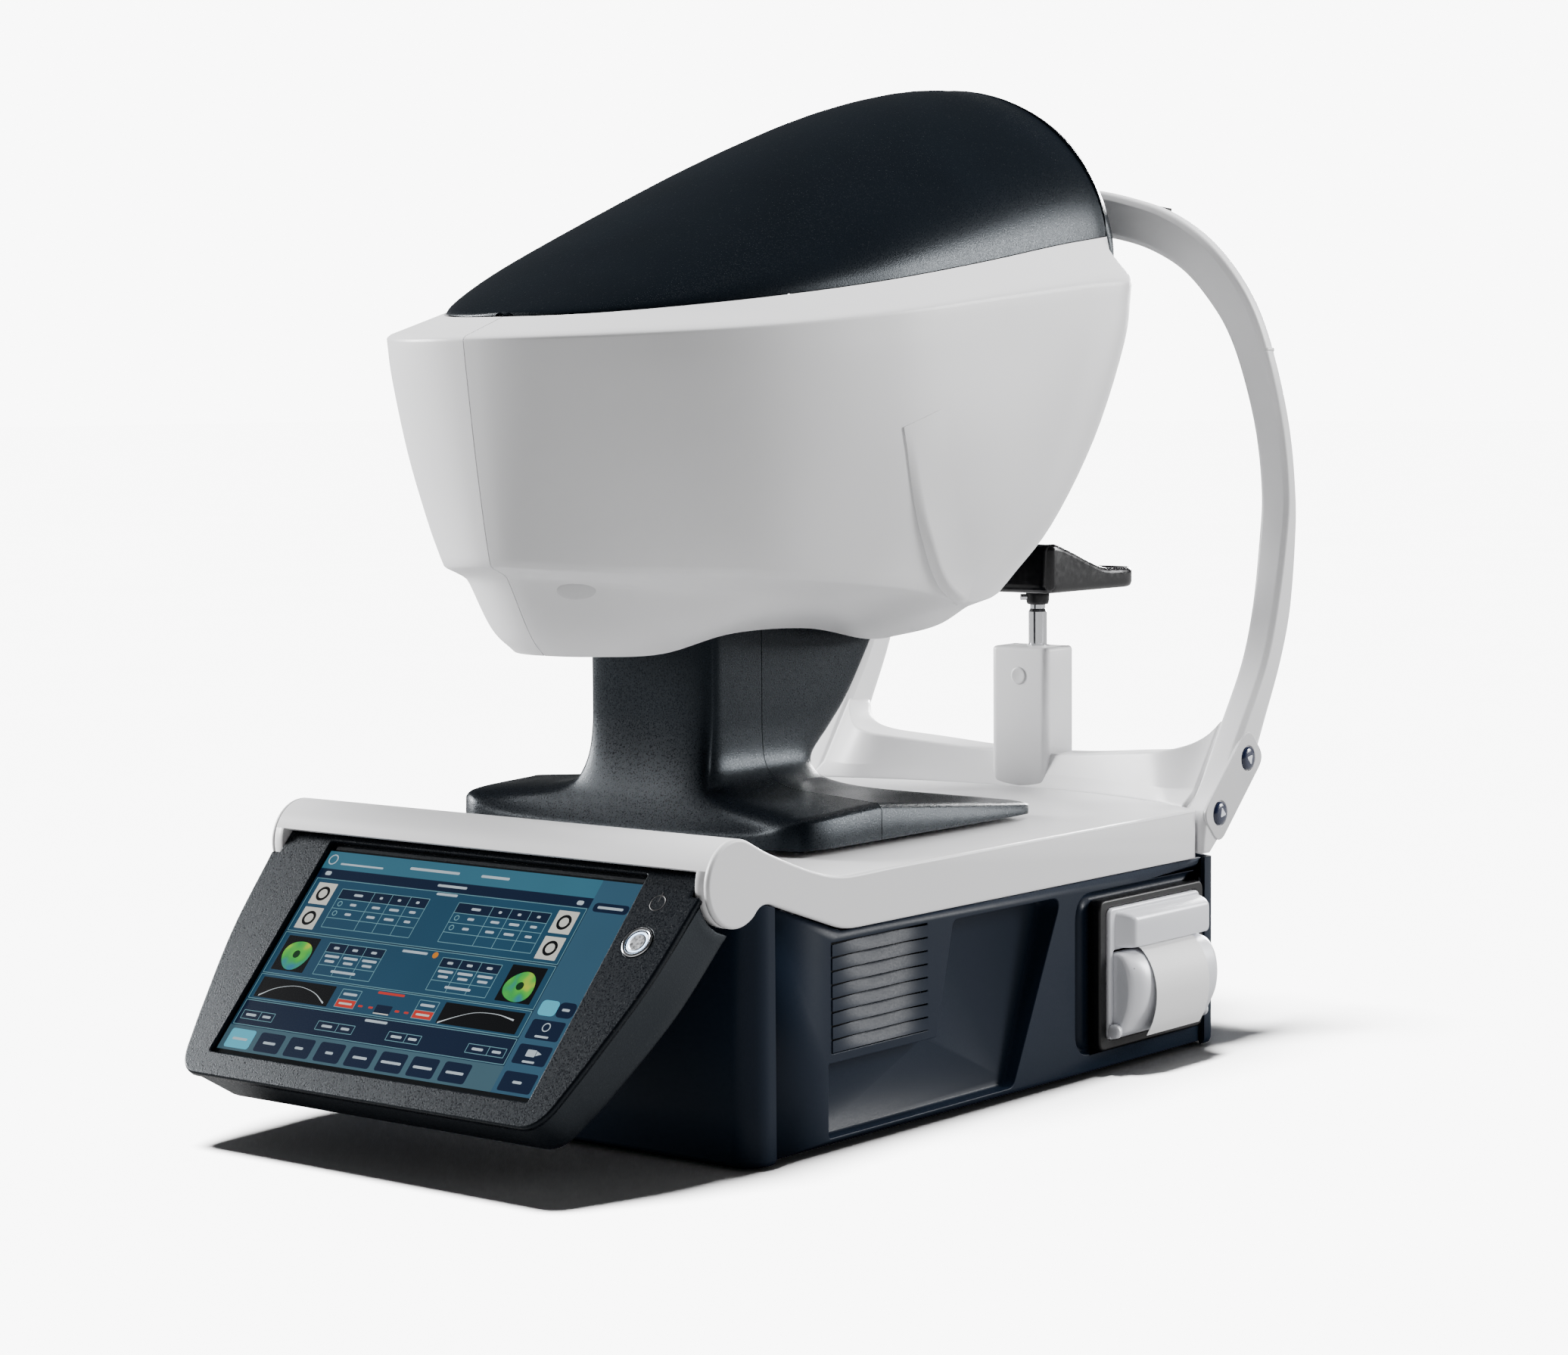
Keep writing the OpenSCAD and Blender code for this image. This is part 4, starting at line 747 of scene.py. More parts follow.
def crease_grid():
    """A raised edge that fades out rearwards over the cheek."""
    cheek = bpy.data.objects["head_right_skin"].data
    tree = BVHTree.FromPolygons([v.co for v in cheek.vertices], [f.vertices for f in cheek.polygons])
    line = curve(CREASE, 6)
    grid = []
    for i, p in enumerate(line):
        u = i / (len(line) - 1)
        tall = 3.6 * math.sin(math.pi * min(1, 0.78 * u)) ** 1.3 - 0.45 * (1 - min(1, 5 * u))
        d = (line[min(i + 1, len(line) - 1)] - line[max(i - 1, 0)]).normalized()
        shade_sheet = Vector((0, -d.z, d.y)) if d.z < 0 else Vector((0, d.z, -d.y))
        row = []
        for k in range(12):
            w = k / 11
            q = p + shade_sheet * 34 * w * (1 - 0.35 * u)
            start = place((200, q.y, q.z))
            hit = tree.ray_cast(start, Vector((-1, 0, 0)))[0]
            x = (hit.x / MM - SHIFT.x) if hit else 100.0
            rise = -0.4 if k == 0 else tall * (1 - w) ** 2 * min(1, 3 * w + 0.75) - 0.4 * w * w
            row.append(Vector((x + rise, q.y, q.z)))
        grid.append(row)
    return grid


skin("head_crease", crease_grid(), 1.2, WHITE, "head", (), "white_shell")

RIDGE = [(30, 436.5), (50, 446), (80, 460), (120, 479), (190, 510), (260, 538), (330, 561), (390, 574),
         (430, 577)]


def looked_up(table, x):
    for (x0, y0), (x1, y1) in zip(table, table[1:]):
        if x <= x1:
            return y0 + (y1 - y0) * max(0.0, (x - x0) / (x1 - x0))
    return table[-1][1]


def smooth_lookup(table, x):
    """The height of a smooth curve through the table's points."""
    line = curve([(0, a, b) for a, b in table], 8)
    return looked_up([(p.y, p.z) for p in line], x)


ARC = 40


def arch_row(half, y, z, top, power=1.18):
    out = []
    for j in range(ARC + 1):
        t = math.pi * j / ARC
        out.append(Vector((HEAD_X + half * math.cos(t), y, z + (top - z) * max(math.sin(t), 0) ** power)))
    return out


def roof_grid():
    edge = curve(HEAD_ROWS[0], 8, True)[1:]
    return [arch_row(p.x - 0.7, p.y + 0.7, p.z + 0.5, smooth_lookup(RIDGE, p.y)) for p in edge]


skin("roof_skin", roof_grid(), 2.4, DARK, "head", ["head_top_cover"], "dark_texture", True)

# Half width, edge Y and Z, middle Y and Z of the rear cover's rows.
MASK_ROWS = [(120.6, 428.4, 484.7, 428.6, 577), (122.2, 430.4, 474, 441, 574), (123.3, 431.7, 464, 450, 561),
             (123.3, 431.6, 450, 455, 536), (122.6, 430, 434, 459, 495), (121.2, 426, 412, 460.5, 440),
             (119.3, 412, 386, 458, 390), (114.6, 381, 343, 447, 346), (109, 358.2, 315, 425, 306),
             (101.2, 329.5, 287.6, 392, 276), (64.5, 341.6, 267, 360, 258)]


def mask_grid():
    rows = []
    for half, edge_y, edge_z, mid_y, mid_z in MASK_ROWS:
        row = []
        for j in range(ARC + 1):
            t = math.pi * j / ARC
            s = max(math.sin(t), 0)
            row.append(Vector((HEAD_X + half * math.cos(t), edge_y + (mid_y - edge_y) * s,
                               edge_z + (mid_z - edge_z) * s ** 1.1)))
        rows.append(row)
    columns = [curve([row[j] for row in rows], 6) for j in range(ARC + 1)]
    return [[column[i] for column in columns] for i in range(len(columns[0]))]


def cut_round(obj, centre, radius, depth):
    """A real round hole along Y through an object's mesh."""
    bm = bmesh.new()
    bmesh.ops.create_cone(bm, cap_ends=True, segments=96, radius1=radius * MM, radius2=radius * MM,
                          depth=depth * MM, matrix=Matrix.Translation(place(centre))
                          @ Matrix.Rotation(math.pi / 2, 4, "X"))
    mesh = bpy.data.meshes.new("cutter")
    bm.to_mesh(mesh)
    bm.free()
    cutter = bpy.data.objects.new("cutter", mesh)
    bpy.context.collection.objects.link(cutter)
    mod = obj.modifiers.new("hole", "BOOLEAN")
    mod.object = cutter
    mod.solver = "EXACT"
    bake(obj)
    bpy.data.objects.remove(cutter)
    bpy.data.meshes.remove(mesh)


def bake(obj):
    """Turns an object's modifiers into its mesh."""
    graph = bpy.context.evaluated_depsgraph_get()
    mesh = bpy.data.meshes.new_from_object(obj.evaluated_get(graph))
    old = obj.data
    obj.modifiers.clear()
    obj.data = mesh
    bpy.data.meshes.remove(old)


mask = skin("mask_skin", mask_grid(), 2.4, DARK, "head", ["head_rear_cover"], "dark_texture", True)
cut_round(mask, (HEAD_X, 455, EYE_Z), 47.5, 60)

# ---- pedestal -------------------------------------------------------------------------------

FRONT_ROWS = [
    [(0, 122, 147.5), (90, 122.4, 147.5), (118, 125.5, 147.5), (126, 140, 147.5), (127, 190.7, 147.5)],
    [(0, 122.4, 151), (90, 123, 153), (118, 126.2, 160), (126, 140, 162.5), (127, 190.7, 165)],
    [(0, 127, 157), (78, 128, 158), (93, 132, 162.6), (99.4, 147, 165.8), (100, 190.7, 167)],
    [(0, 131.5, 163.2), (54, 132.2, 163.8), (66, 136, 166.2), (74, 150, 168), (75, 190.7, 168.6)],
    [(0, 136, 170.4), (42, 136.6, 170.6), (51, 141, 171.4), (57.4, 154, 171.8), (58, 190.7, 172)],
    [(0, 140, 179), (38, 140.6, 179), (45.4, 145, 178.8), (49.1, 157, 178.4), (49.5, 190.7, 178)],
    [(0, 143.5, 190), (36.6, 144.1, 190), (42.2, 148.6, 189.4), (44.4, 160, 188), (44.6, 190.7, 187)],
    [(0, 146, 205), (36, 146.6, 205), (41.6, 150.8, 204.6), (43, 161, 203), (43, 190.7, 202)],
    [(0, 147, 222), (36, 147.5, 222), (42, 151.5, 222), (43, 162, 222), (43, 190.7, 222)],
    [(0, 147, 268), (36, 147.5, 268), (42, 151.5, 268), (43, 162, 268), (43, 190.7, 268)]]
REAR_ROWS = [
    [(0, 342, 147.5), (95, 341.8, 147.5), (120, 337, 147.5), (126.5, 318, 147.5), (127, 191.3, 147.5)],
    [(0, 342, 151.5), (95, 341.8, 151.5), (120, 337, 151.8), (126.5, 318, 153), (127, 191.3, 165)],
    [(0, 300, 157.6), (75, 299, 157.6), (92, 292, 158.4), (99, 272, 161), (100, 191.3, 167)],
    [(0, 268, 163), (50, 267, 163), (65, 261, 163.6), (74, 246, 165.2), (75, 191.3, 168.6)],
    [(0, 250, 168.5), (38, 249, 168.5), (50, 244, 169.3), (57, 231, 170.4), (58, 191.3, 172)],
    [(0, 242.5, 176), (33, 242, 176), (43, 237, 176.6), (48.8, 226, 177.4), (49.5, 191.3, 178)],
    [(0, 244.5, 187), (32, 244, 187), (39.8, 239.5, 187), (44, 228, 187), (44.6, 191.3, 187)],
    [(0, 262, 203), (32, 261.5, 203), (39.6, 257, 203), (42.8, 244, 202.6), (43, 191.3, 202)],
    [(0, 281, 222), (32, 280.4, 222), (40, 275, 222), (43, 262, 222), (43, 191.3, 222)],
    [(0, 312, 266), (32, 311.4, 266), (40, 306, 266), (43, 292, 267), (43, 191.3, 268)]]


def pedestal_grid(rows):
    rounds = [curve(row, 8, True) for row in rows]
    grid = []
    for j in range(len(rounds[0])):
        p = [row[j] for row in rounds]
        wall = [p[0], p[0].lerp(p[1], 0.9)]
        lip = p[1].lerp(p[0], 0.03).lerp(p[2], 0.03)
        top = curve([p[1].lerp(p[2], 0.06), *p[2:]], 6)
        grid.append([*wall, lip, *top])
    full = [[mirrored(q) for q in line] for line in reversed(grid[1:])] + grid
    return [[Vector((q.x + HEAD_X, q.y, q.z)) for q in line] for line in full]


for label, rows, flipped in (("front", FRONT_ROWS, False), ("rear", REAR_ROWS, True)):
    skin(f"pedestal_{label}_skin", pedestal_grid(rows), 2.4, DARK, "x_stage", [f"pedestal_{label}_cover"],
         "dark_texture", flipped)

# A sleeve that hangs from the head into the pedestal and closes the gap when the head rises.
sleeve = outline([(-39.4, 151.6), (39.4, 151.6), (39.4, 277), (-39.4, 277)], 6, 5)
rings = [[Vector((p.x + HEAD_X, p.y, z)) for p in sleeve] for z in (240, 252, 264, 276, 288)]
solidify(loft("head_sleeve", rings, DARK, "head", (), "dark_texture", (False, False)), 1.6)

# ---- base -----------------------------------------------------------------------------------

BASE_SKIN = (BASE, "base", ["base_housing"], "base_blue")
COVER_SKIN = (WHITE, "base", ["top_cover"], "white_shell")
FRAME_SKIN = (WHITE, "base", ["face_frame"], "white_shell")
SIDES = ((1, "right"), (-1, "left"))
BASE_X = 153.0
FLOOR_Z = 4.0


def rim_z(y):
    """Height of the base's wall under the cover's edge."""
    if y < 22:
        return min(136.6, ROLL_Z - math.sqrt(max((ROLL_R + 0.8) ** 2 - y * y, 0)))
    return 136.6 + (114.4 - 136.6) * min((y - 22) / 67, 1)


def wall_grid(path, heights):
    """Rows up the wall over a plan path of (x, y, outward x, outward y)."""
    grid = []
    for x, y, nx, ny in path:
        row = [Vector((x - 1.6 * nx, y - 1.6 * ny, FLOOR_Z)), Vector((x - 0.5 * nx, y - 0.5 * ny, FLOOR_Z + 0.5)),
               Vector((x, y, FLOOR_Z + 1.6))]
        top = rim_z(y)
        row += [Vector((x, y, z if z < 90 else FLOOR_Z + (top - FLOOR_Z) * z / 100)) for z in heights]
        grid.append(row)
    return grid


def front_path():
    path = [(-BASE_X, 29.9, -1, 0)]
    for k in range(13):
        a = math.pi * (1 + k / 24)
        path.append((-141 + 12 * math.cos(a), 25.5 + 12 * math.sin(a), math.cos(a), math.sin(a)))
    path += [(x, 13.5, 0, -1) for x in range(-120, 121, 20)]
    return path + [(-x, y, -nx, ny) for x, y, nx, ny in reversed(path[:14])]


def rear_y(x, radius=326.0, centre=160.0):
    return centre + math.sqrt(radius * radius - x * x)


def cover_rear(x):
    """The cover's rear edge, and so the face of the wall behind it."""
    return rear_y(x, 324.0, 146.0)


def rear_path():
    path = [(BASE_X, 440.1, 1, 0), (BASE_X, 445.6, 1, 0), (152.4, 447.6, 0.8, 0.6), (151, 448.9, 0.47, 0.88)]
    xs = [140, 120, 100, 80, 60, 38, 20, 0, -20, -40, -60, -80, -94, -108, -125, -140]
    path += [(x, rear_y(x), x / 326, (rear_y(x) - 160) / 326) for x in xs]
    return path + [(-x, y, -nx, ny) for x, y, nx, ny in reversed(path[:4])]


skin("base_front_skin", wall_grid(front_path(), (30, 60, 100)), 2.8, *BASE_SKIN)


def without(name, grid, inside):
    """A grid mesh without the faces whose middle is inside a window."""
    mesh = grid_mesh(name, grid)
    bm = bmesh.new()
    bm.from_mesh(mesh)
    gone = [face for face in bm.faces if inside(face.calc_center_median() / MM - SHIFT)]
    bmesh.ops.delete(bm, geom=gone, context="FACES")
    bm.to_mesh(mesh)
    bm.free()
    return mesh


SOCKETS = (-108, 38, 20, 68)  # the rear opening in X and Z
rear_wall = without("base_rear_skin", wall_grid(rear_path(), (20, 44, 68, 100)),
                    lambda c: SOCKETS[0] < c.x < SOCKETS[1] and SOCKETS[2] < c.z < SOCKETS[3])
solidify(add_object("base_rear_skin", rear_wall, *BASE_SKIN), 2.8)

RECESS = outline([(77, 7), (244, 7), (292, 108), (188, 108), (172, 46), (77, 46)], [2, 7, 6, 5, 2, 1], 6)
LOUVRES = [58.3 + 7.2 * k for k in range(8)]
POCKET = outline([(306, 14), (445, 14), (445, 107), (306, 107)], [14, 3, 3, 16], 8)
PRINTER_HOLE = outline([(326, 17.5), (431, 17.5), (431, 99.5), (326, 99.5)], 3, 4)


def flat_frame(x, y, z):
    return Vector((x, y, z))


def on_side(side):
    return lambda a, b, h: Vector((side * h, a, b))


RIGHT = on_side(1)


def recess_ring(side, t, part):
    """The side panel's edge moved in by t, at part of its depth, which grows upwards."""
    return [Vector((side * (BASE_X - part * (7 + 8 * (p.y - 7) / 101)), p.x, p.y)) for p in moved_in(RECESS, t)]


def slat_grid(side, z):
    """The scooped strip under one louvre slot."""
    grid = []
    for i in range(29):
        u = i / 28
        deep = 2.8 * math.sin(math.pi * u) ** 1.1
        row = []
        for k in range(9):
            w = k / 8
            row.append(Vector((side * (BASE_X - deep * (1 - w) ** 1.2), 80 + 84 * u, z - 0.55 - 6.1 * w)))
        grid.append(row)
    return grid


for side, label in SIDES:
    holes = [RECESS, box_outline(80, 164, 51.1, 109.2, 0.2, 1)]
    if side > 0:
        holes.append(POCKET)
    shape = outline([(29.9, FLOOR_Z), (440.1, FLOOR_Z), (440.1, 114.4), (89, 114.4), (29.9, rim_z(29.9))], 0)
    slab(f"base_{label}_skin", shape, holes, 150.2, BASE_X, 0, on_side(side), *BASE_SKIN, 0.6)
    rings = [recess_ring(side, t, part) for t, part in ((0.05, 0.1), (0.25, 0.75), (0.8, 0.94), (2.0, 1.0))]
    loft(f"recess_{label}_skin", rings, *BASE_SKIN, (False, True))
    for k, z in enumerate(LOUVRES):
        skin(f"louvre_{label}_{k}", slat_grid(side, z), 1.1, *BASE_SKIN, side < 0, 0)
    # A black sheet behind the louvre slots: painted shade for the dark inside of the base seen through them.
    slab(f"louvre_{label}_back", box_outline(78, 166, 50, 110.4, 1, 2), [], 145.4, 146.2, 0.2, on_side(side),
         BLACK, "base", ["base_housing"], "black_plastic")
rings = [[Vector((BASE_X - h, p.x, p.y)) for p in moved_in(POCKET, t)] for t, h in
         ((0.05, 0.5), (0.3, 1.6), (1.2, 2.4), (2.6, 2.7))]
loft("printer_pocket_skin", rings, *BASE_SKIN, (False, False))
slab("printer_pocket_floor", moved_in(POCKET, 2.55), [PRINTER_HOLE], 148.6, 150.3, 0.0, RIGHT, *BASE_SKIN)

# Underside and the recess round the rear sockets.
plan = [Vector(p[:2]) for p in front_path()] + [Vector(p[:2]) for p in rear_path()]
slab("base_floor_skin", moved_in(plan, 2.0), [], 4.4, 7.0, 0.0, flat_frame, *BASE_SKIN)


def recess_frame(t, deep):
    """The recess's opening moved in by t, on the wall's curve or at a fixed depth."""
    x0, x1, z0, z1 = SOCKETS[0] + t, SOCKETS[1] - t, SOCKETS[2] + t, SOCKETS[3] - t
    xs = [x0 + (x1 - x0) * k / 12 for k in range(13)]
    loop = [(x, z0) for x in xs] + [(x, z1) for x in reversed(xs)]
    return [Vector((x, rear_y(x) - deep if deep < 3 else 455.0 - (deep - 3), z)) for x, z in loop]


rings = [recess_frame(t, deep) for t, deep in
         ((-0.2, 0.9), (0, 0.1), (0.6, -0.2), (0.9, 0.1), (1.2, 1.0), (1.4, 3), (8, 3.05), (8.6, 6.4))]
sharp(loft("socket_recess", rings, *BASE_SKIN, (False, False)), 50)

# ---- cover ----------------------------------------------------------------------------------

COVER_X = 156.0


def cover_top():
    """Side view of the cover's upper surface, from the band's edge over the front to the deck."""
    line = [Vector((0, ROLL_R * math.cos(a), ROLL_R * math.sin(a))) for a in
            (math.radians(158 - 6 * k) for k in range(17))]
    rest = [(0, 22.6, 14.1), (0, 36, 8.8), (0, 50, 3.6), (0, 63, -0.6), (0, 76, -3.9), (0, 89, -5.6),
            (0, 104, -5.8), (0, 130, -5.4), (0, 144, -5.35)]
    return line[:-1] + curve([line[-1], *rest], 4)


def cover_grid(xs):
    top = cover_top()
    grid = []
    for x in xs:
        shade_sheet = cover_rear(x)
        row = [Vector((x, p.y, p.z + ROLL_Z)) for p in top]
        row += [Vector((x, y, ROLL_Z - 5.35 + 0.0015 * (y - 144))) for y in (160, 180, 204, 226, 280, 340, 400)]
        row += [Vector((x, shade_sheet - 1.2, ROLL_Z - 4.9)), Vector((x, shade_sheet - 0.35, ROLL_Z - 5.25)),
                Vector((x, shade_sheet, ROLL_Z - 6.1)), Vector((x, shade_sheet, ROLL_Z - 12))]
        grid.append(row)
    return grid


def cover_side_outline():
    top = [Vector((p.y, p.z + ROLL_Z)) for p in cover_top()]
    front = [Vector((ROLL_R * math.cos(a), ROLL_Z + ROLL_R * math.sin(a))) for a in
             (math.radians(158 + 6 * k) for k in range(1, 26))]
    fillet = bend(front[-1], Vector((19.6, ROLL_Z - 10.8)), Vector((28.5, ROLL_Z - 14.2)), 6, 1)
    knee = bend(Vector((80, 118.1)), Vector((88.7, 115.2)), Vector((100, 115.2)), 5)
    shade_sheet = cover_rear(COVER_X)
    return [Vector((shade_sheet, 115.2)), Vector((shade_sheet, ROLL_Z - 5.6)), Vector((shade_sheet - 1, ROLL_Z - 4.9)), *reversed(top),
            *front, *fillet, *knee]


xs = [-153, -147, -140, -120, -100, -82, -60, -40, -20, 0, 20, 40, 60, 82, 100, 120, 140, 147, 153]
cover_mesh = without("cover_skin", cover_grid(xs), lambda c: abs(c.x) < 82 and 144 < c.y < 226)
solidify(add_object("cover_skin", cover_mesh, *COVER_SKIN), 2.6, 1.0)
for side, label in SIDES:
    slab(f"cover_{label}_skin", cover_side_outline(), [], 153.0, COVER_X, 1.5, on_side(side), *COVER_SKIN)
    slab(f"cover_{label}_ear", circle_outline(0, ROLL_Z, ROLL_R - 0.03, 72), [], -153.1, -EAR_X, 0.5,
         lambda a, b, h, s=side: Vector((-s * h, a, b)), *COVER_SKIN)

# ---- face frame -----------------------------------------------------------------------------

FRAME_PATH = [(160, 118, 141, 118, 431, 443), (160, 128, 141, 128, 431, 460), (160, 141, 141, 141, 434, 477),
              (160, 152, 141, 152, 451, 484), (160, 174, 141, 174, 466.5, 499), (160, 192, 141, 192, 479, 509),
              (160, 226, 141, 226, 502, 527), (160, 260, 141, 260, 515, 539), (160, 300, 140, 300, 525, 543),
              (160, 329, 140, 329, 528, 542), (160, 368, 140, 366, 521, 535), (160, 408, 140, 402, 505, 519),
              (156, 440, 137, 428, 492, 506), (146, 464, 129, 447, 483, 497), (130, 484, 117, 463, 477, 491),
              (108, 499, 101, 474, 474, 488), (84, 508, 81, 482, 471.5, 486), (50, 515.5, 49, 488, 470.5, 485),
              (0, 519.5, 0, 491, 470, 484.5)]


def frame_section(row):
    """Section across the arch: its front and rear corners eased, the front kept clear of the cover."""
    ox, oz, ix, iz, front, rear = row
    o, i = Vector((ox, 0, oz)), Vector((ix, 0, iz))
    h = rear - front

    def at(k, y):
        p = o.lerp(i, k)
        if p.z < 145.5:
            y = max(y, cover_rear(min(p.x, 160)) + 0.5)
        return Vector((p.x, y, p.z))
    return [at(0, front + 0.1 * h), at(0.16, front), at(0.88, front), at(1, front + 0.16 * h),
            at(1, rear - 0.2 * h), at(0.88, rear), at(0.22, rear), at(0, rear - 0.32 * h)]


def arch_rings():
    lines = list(zip(*[frame_section(row) for row in FRAME_PATH]))
    smooth = [curve(line, 5) for line in lines]
    half = [outline([line[k] for line in smooth], 2.6, 4) for k in range(len(smooth[0]))]
    return half + [[mirrored(p) for p in ring] for ring in reversed(half[:-1])]


arch = loft("arch_skin", arch_rings(), *FRAME_SKIN)

WALL_TOP = [(0, 165), (40, 166.8), (80, 170.6), (104, 173), (116, 175), (124, 177), (131, 180), (137, 185),
            (141.5, 192)]
ARM_FRONT = [(118, 431), (141, 434), (152, 451), (174, 466.5), (192, 479), (226, 502)]
ARM_REAR = [(118, 443), (128, 460), (141, 477), (152, 484), (174, 499), (192, 509), (226, 527)]


def cross_rings():
    xs = [4 * k for k in range(28)] + [112 + 2.5 * k for k in range(12)] + [141.5]
    rings = []
    for x in xs:
        top = smooth_lookup(WALL_TOP, x)
        near, far = cover_rear(x) + 0.5, rear_y(x, 365.0, 146.0)
        t = min(max((x - 100) / 41.5, 0), 1)
        t = t * t * (3 - 2 * t)
        near_top = near + 5 + t * (looked_up(ARM_FRONT, top) + 1.5 - near - 5)
        backs = [far + t * (looked_up(ARM_REAR, z) - 1 - far) for z in (top, top - 16, 118)]
        mid = looked_up(ARM_FRONT, 152) + 1.5
        pts = [Vector((x, near, 116)), Vector((x, near, 145)),
               Vector((x, near + 1.5 + t * max(mid - near - 1.5, 0), 153)), Vector((x, near_top, top)),
               Vector((x, backs[0] - 3, top - 0.5)), Vector((x, backs[1], top - 16)), Vector((x, backs[2], 116))]
        flat = outline([(p.y, p.z) for p in pts], [0.3, 3, 8, 2.2, 5, 12, 0.3], 4, True)
        rings.append([Vector((x, p.x, p.y)) for p in flat])
    return [[mirrored(p) for p in ring] for ring in reversed(rings[1:])] + rings


loft("cross_wall_skin", cross_rings(), *FRAME_SKIN)


def eye_marks():
    """A fine rib round each arm at the height of the patient's eyes."""
    ring = min(arch_rings(), key=lambda r: abs(sum(p.z for p in r) / len(r) - EYE_Z) + (200 if r[0].x < 0 else 0))
    mid = sum(ring, Vector()) / len(ring)
    for turn, label in SIDES:
        rows = []
        for out, dz in ((-1.0, -1.2), (0.35, -1.0), (0.6, -0.4), (0.6, 0.4), (0.35, 1.0), (-1.0, 1.2)):
            rows.append([Vector((turn * (p.x + (p.x - mid.x) * 0.06 * out), p.y + (p.y - mid.y) * 0.09 * out,
                                 EYE_Z + (p.z - mid.z) + dz)) for p in ring])
        loft(f"eye_mark_{label}", rows, WHITE, "base", (), "white_shell")


eye_marks()


def on_arm(a, b, h):
    """On the arm's outer side: b runs up along the lift buttons."""
    c, s = math.cos(math.radians(46.5)), math.sin(math.radians(46.5))
    return Vector((160 + h, 465.4 + a * c + b * s, 155.5 - a * s + b * c))


slab("button_panel_skin", box_outline(-13.5, 13.5, -35.5, 35.5, 9, 8),
     [circle_outline(0, -22, 7.7), circle_outline(0, 22, 7.7)], -1.5, 0.8, 0.5, on_arm, PLUG, "base",
     ["button_panel"], "plug_grey")
for way, label in ((1, "up"), (-1, "down")):
    def on_key(a, b, h, way=way):
        return on_arm(a, b + 22 * way, h)
    turned(f"{label}_button_skin",
           [(0.01, 2.5), (2.4, 2.45), (4.6, 2.25), (6, 1.9), (6.8, 1.3), (7.1, 0.5), (7.1, -6)],
           on_key, NAVY, f"{label}_key", [f"{label}_button"], "navy")
    arrow = outline([(-3.4, -2.2 * way), (3.4, -2.2 * way), (0, 3.2 * way)][::way], 0.7, 3)
    slab(f"{label}_arrow", arrow, [], 2.25, 2.62, 0.15, on_key, ARROW, f"{label}_key")

# ---- chin rest ------------------------------------------------------------------------------

CHIN_Y = 492.0


def cup_top(x, y):
    """Height of the cup's rim line along its length."""
    if y < 449:
        return 298.6
    if y < 505:
        t = (y - 449) / 56
        return 298.6 - 16.8 * (t * t * (3 - 2 * t) * 0.35 + t * 0.65)
    return 281.8 - 0.8 * min((y - 505) / 30, 1)


def cup_rings():
    shape = outline([(-44, 440.6), (44, 440.6), (44, 542), (-44, 542)], [8, 8, 15, 15], 8)
    dense = []
    for i, p in enumerate(shape):
        q = shape[(i + 1) % len(shape)]
        n = max(1, int((q - p).length / 6))
        dense += [p.lerp(q, k / n) for k in range(n)]
    rings = []
    for t, z in ((9, 268.2), (3, 268.4), (1, 269.2), (0.1, 271.4), (0, 274)):
        rings.append([Vector((p.x, p.y, z)) for p in moved_in(dense, t)])
    for t, down in ((0, 4), (0.1, 2.2), (0.8, 0.7), (2.2, 0), (4.2, 0.1), (7, 0.9)):
        rings.append([Vector((p.x, p.y, cup_top(p.x, p.y) - down)) for p in moved_in(dense, t)])
    mid = Vector((0, 490))
    for k, down in ((0.88, 2.2), (0.76, 3.2), (0.6, 4.2), (0.4, 5.0), (0.2, 5.4), (0.05, 5.5)):
        ring = []
        for p in moved_in(dense, 7):
            q = mid.lerp(p, k)
            ring.append(Vector((q.x, q.y, cup_top(q.x, q.y) - down * (0.55 + 0.45 * abs(p.x) / 40))))
        rings.append(ring)
    return rings


loft("chin_cup_skin", cup_rings(), PAD, "chin_unit", ["chin_rest"], "black_pad")
turned("chin_socket", [(5.2, 258), (6.6, 258.3), (7.2, 260), (7.4, 263), (7.6, 268.4)],
       lambda a, b, h: Vector((a, CHIN_Y + b, h)), BLACK, "chin_unit")
column = outline([(-21.4, 470.5), (21.4, 470.5), (21.4, 499.2), (-21.4, 499.2)], [5, 5, 0.6, 0.6], 6)
slab("chin_column_skin", column,
     [circle_outline(0, CHIN_Y, 6.5, 40)], 144.6, 232.4, 2.4, flat_frame, WHITE, "base", ["chin_lift_cover"],
     "white_shell", 0.8)
turned("column_screw_ring", [(3.4, 470.1), (4.6, 469.9), (5.4, 470.1), (5.6, 470.7)],
       lambda a, b, h: Vector((a, h, 214.2 + b)), PLUG, "base")
turned("column_screw_head", [(0.01, 470.2), (2.4, 470.2), (3.2, 470.35), (3.5, 470.9)],
       lambda a, b, h: Vector((a, h, 214.2 + b)), STEEL, "base")

# ---- printer --------------------------------------------------------------------------------

def printer_loft(name, rows, material, body, replaced=(), slot=None):
    """Rounded boxes in Y and Z stacked outwards: (x, y0, y1, z0, z1)."""
    rings = [[RIGHT(p.x, p.y, x) for p in box_outline(y0, y1, z0, z1, 3, 5)] for x, y0, y1, z0, z1 in rows]
    return sharp(loft(name, rings, material, body, replaced, slot, (False, True)), 55)


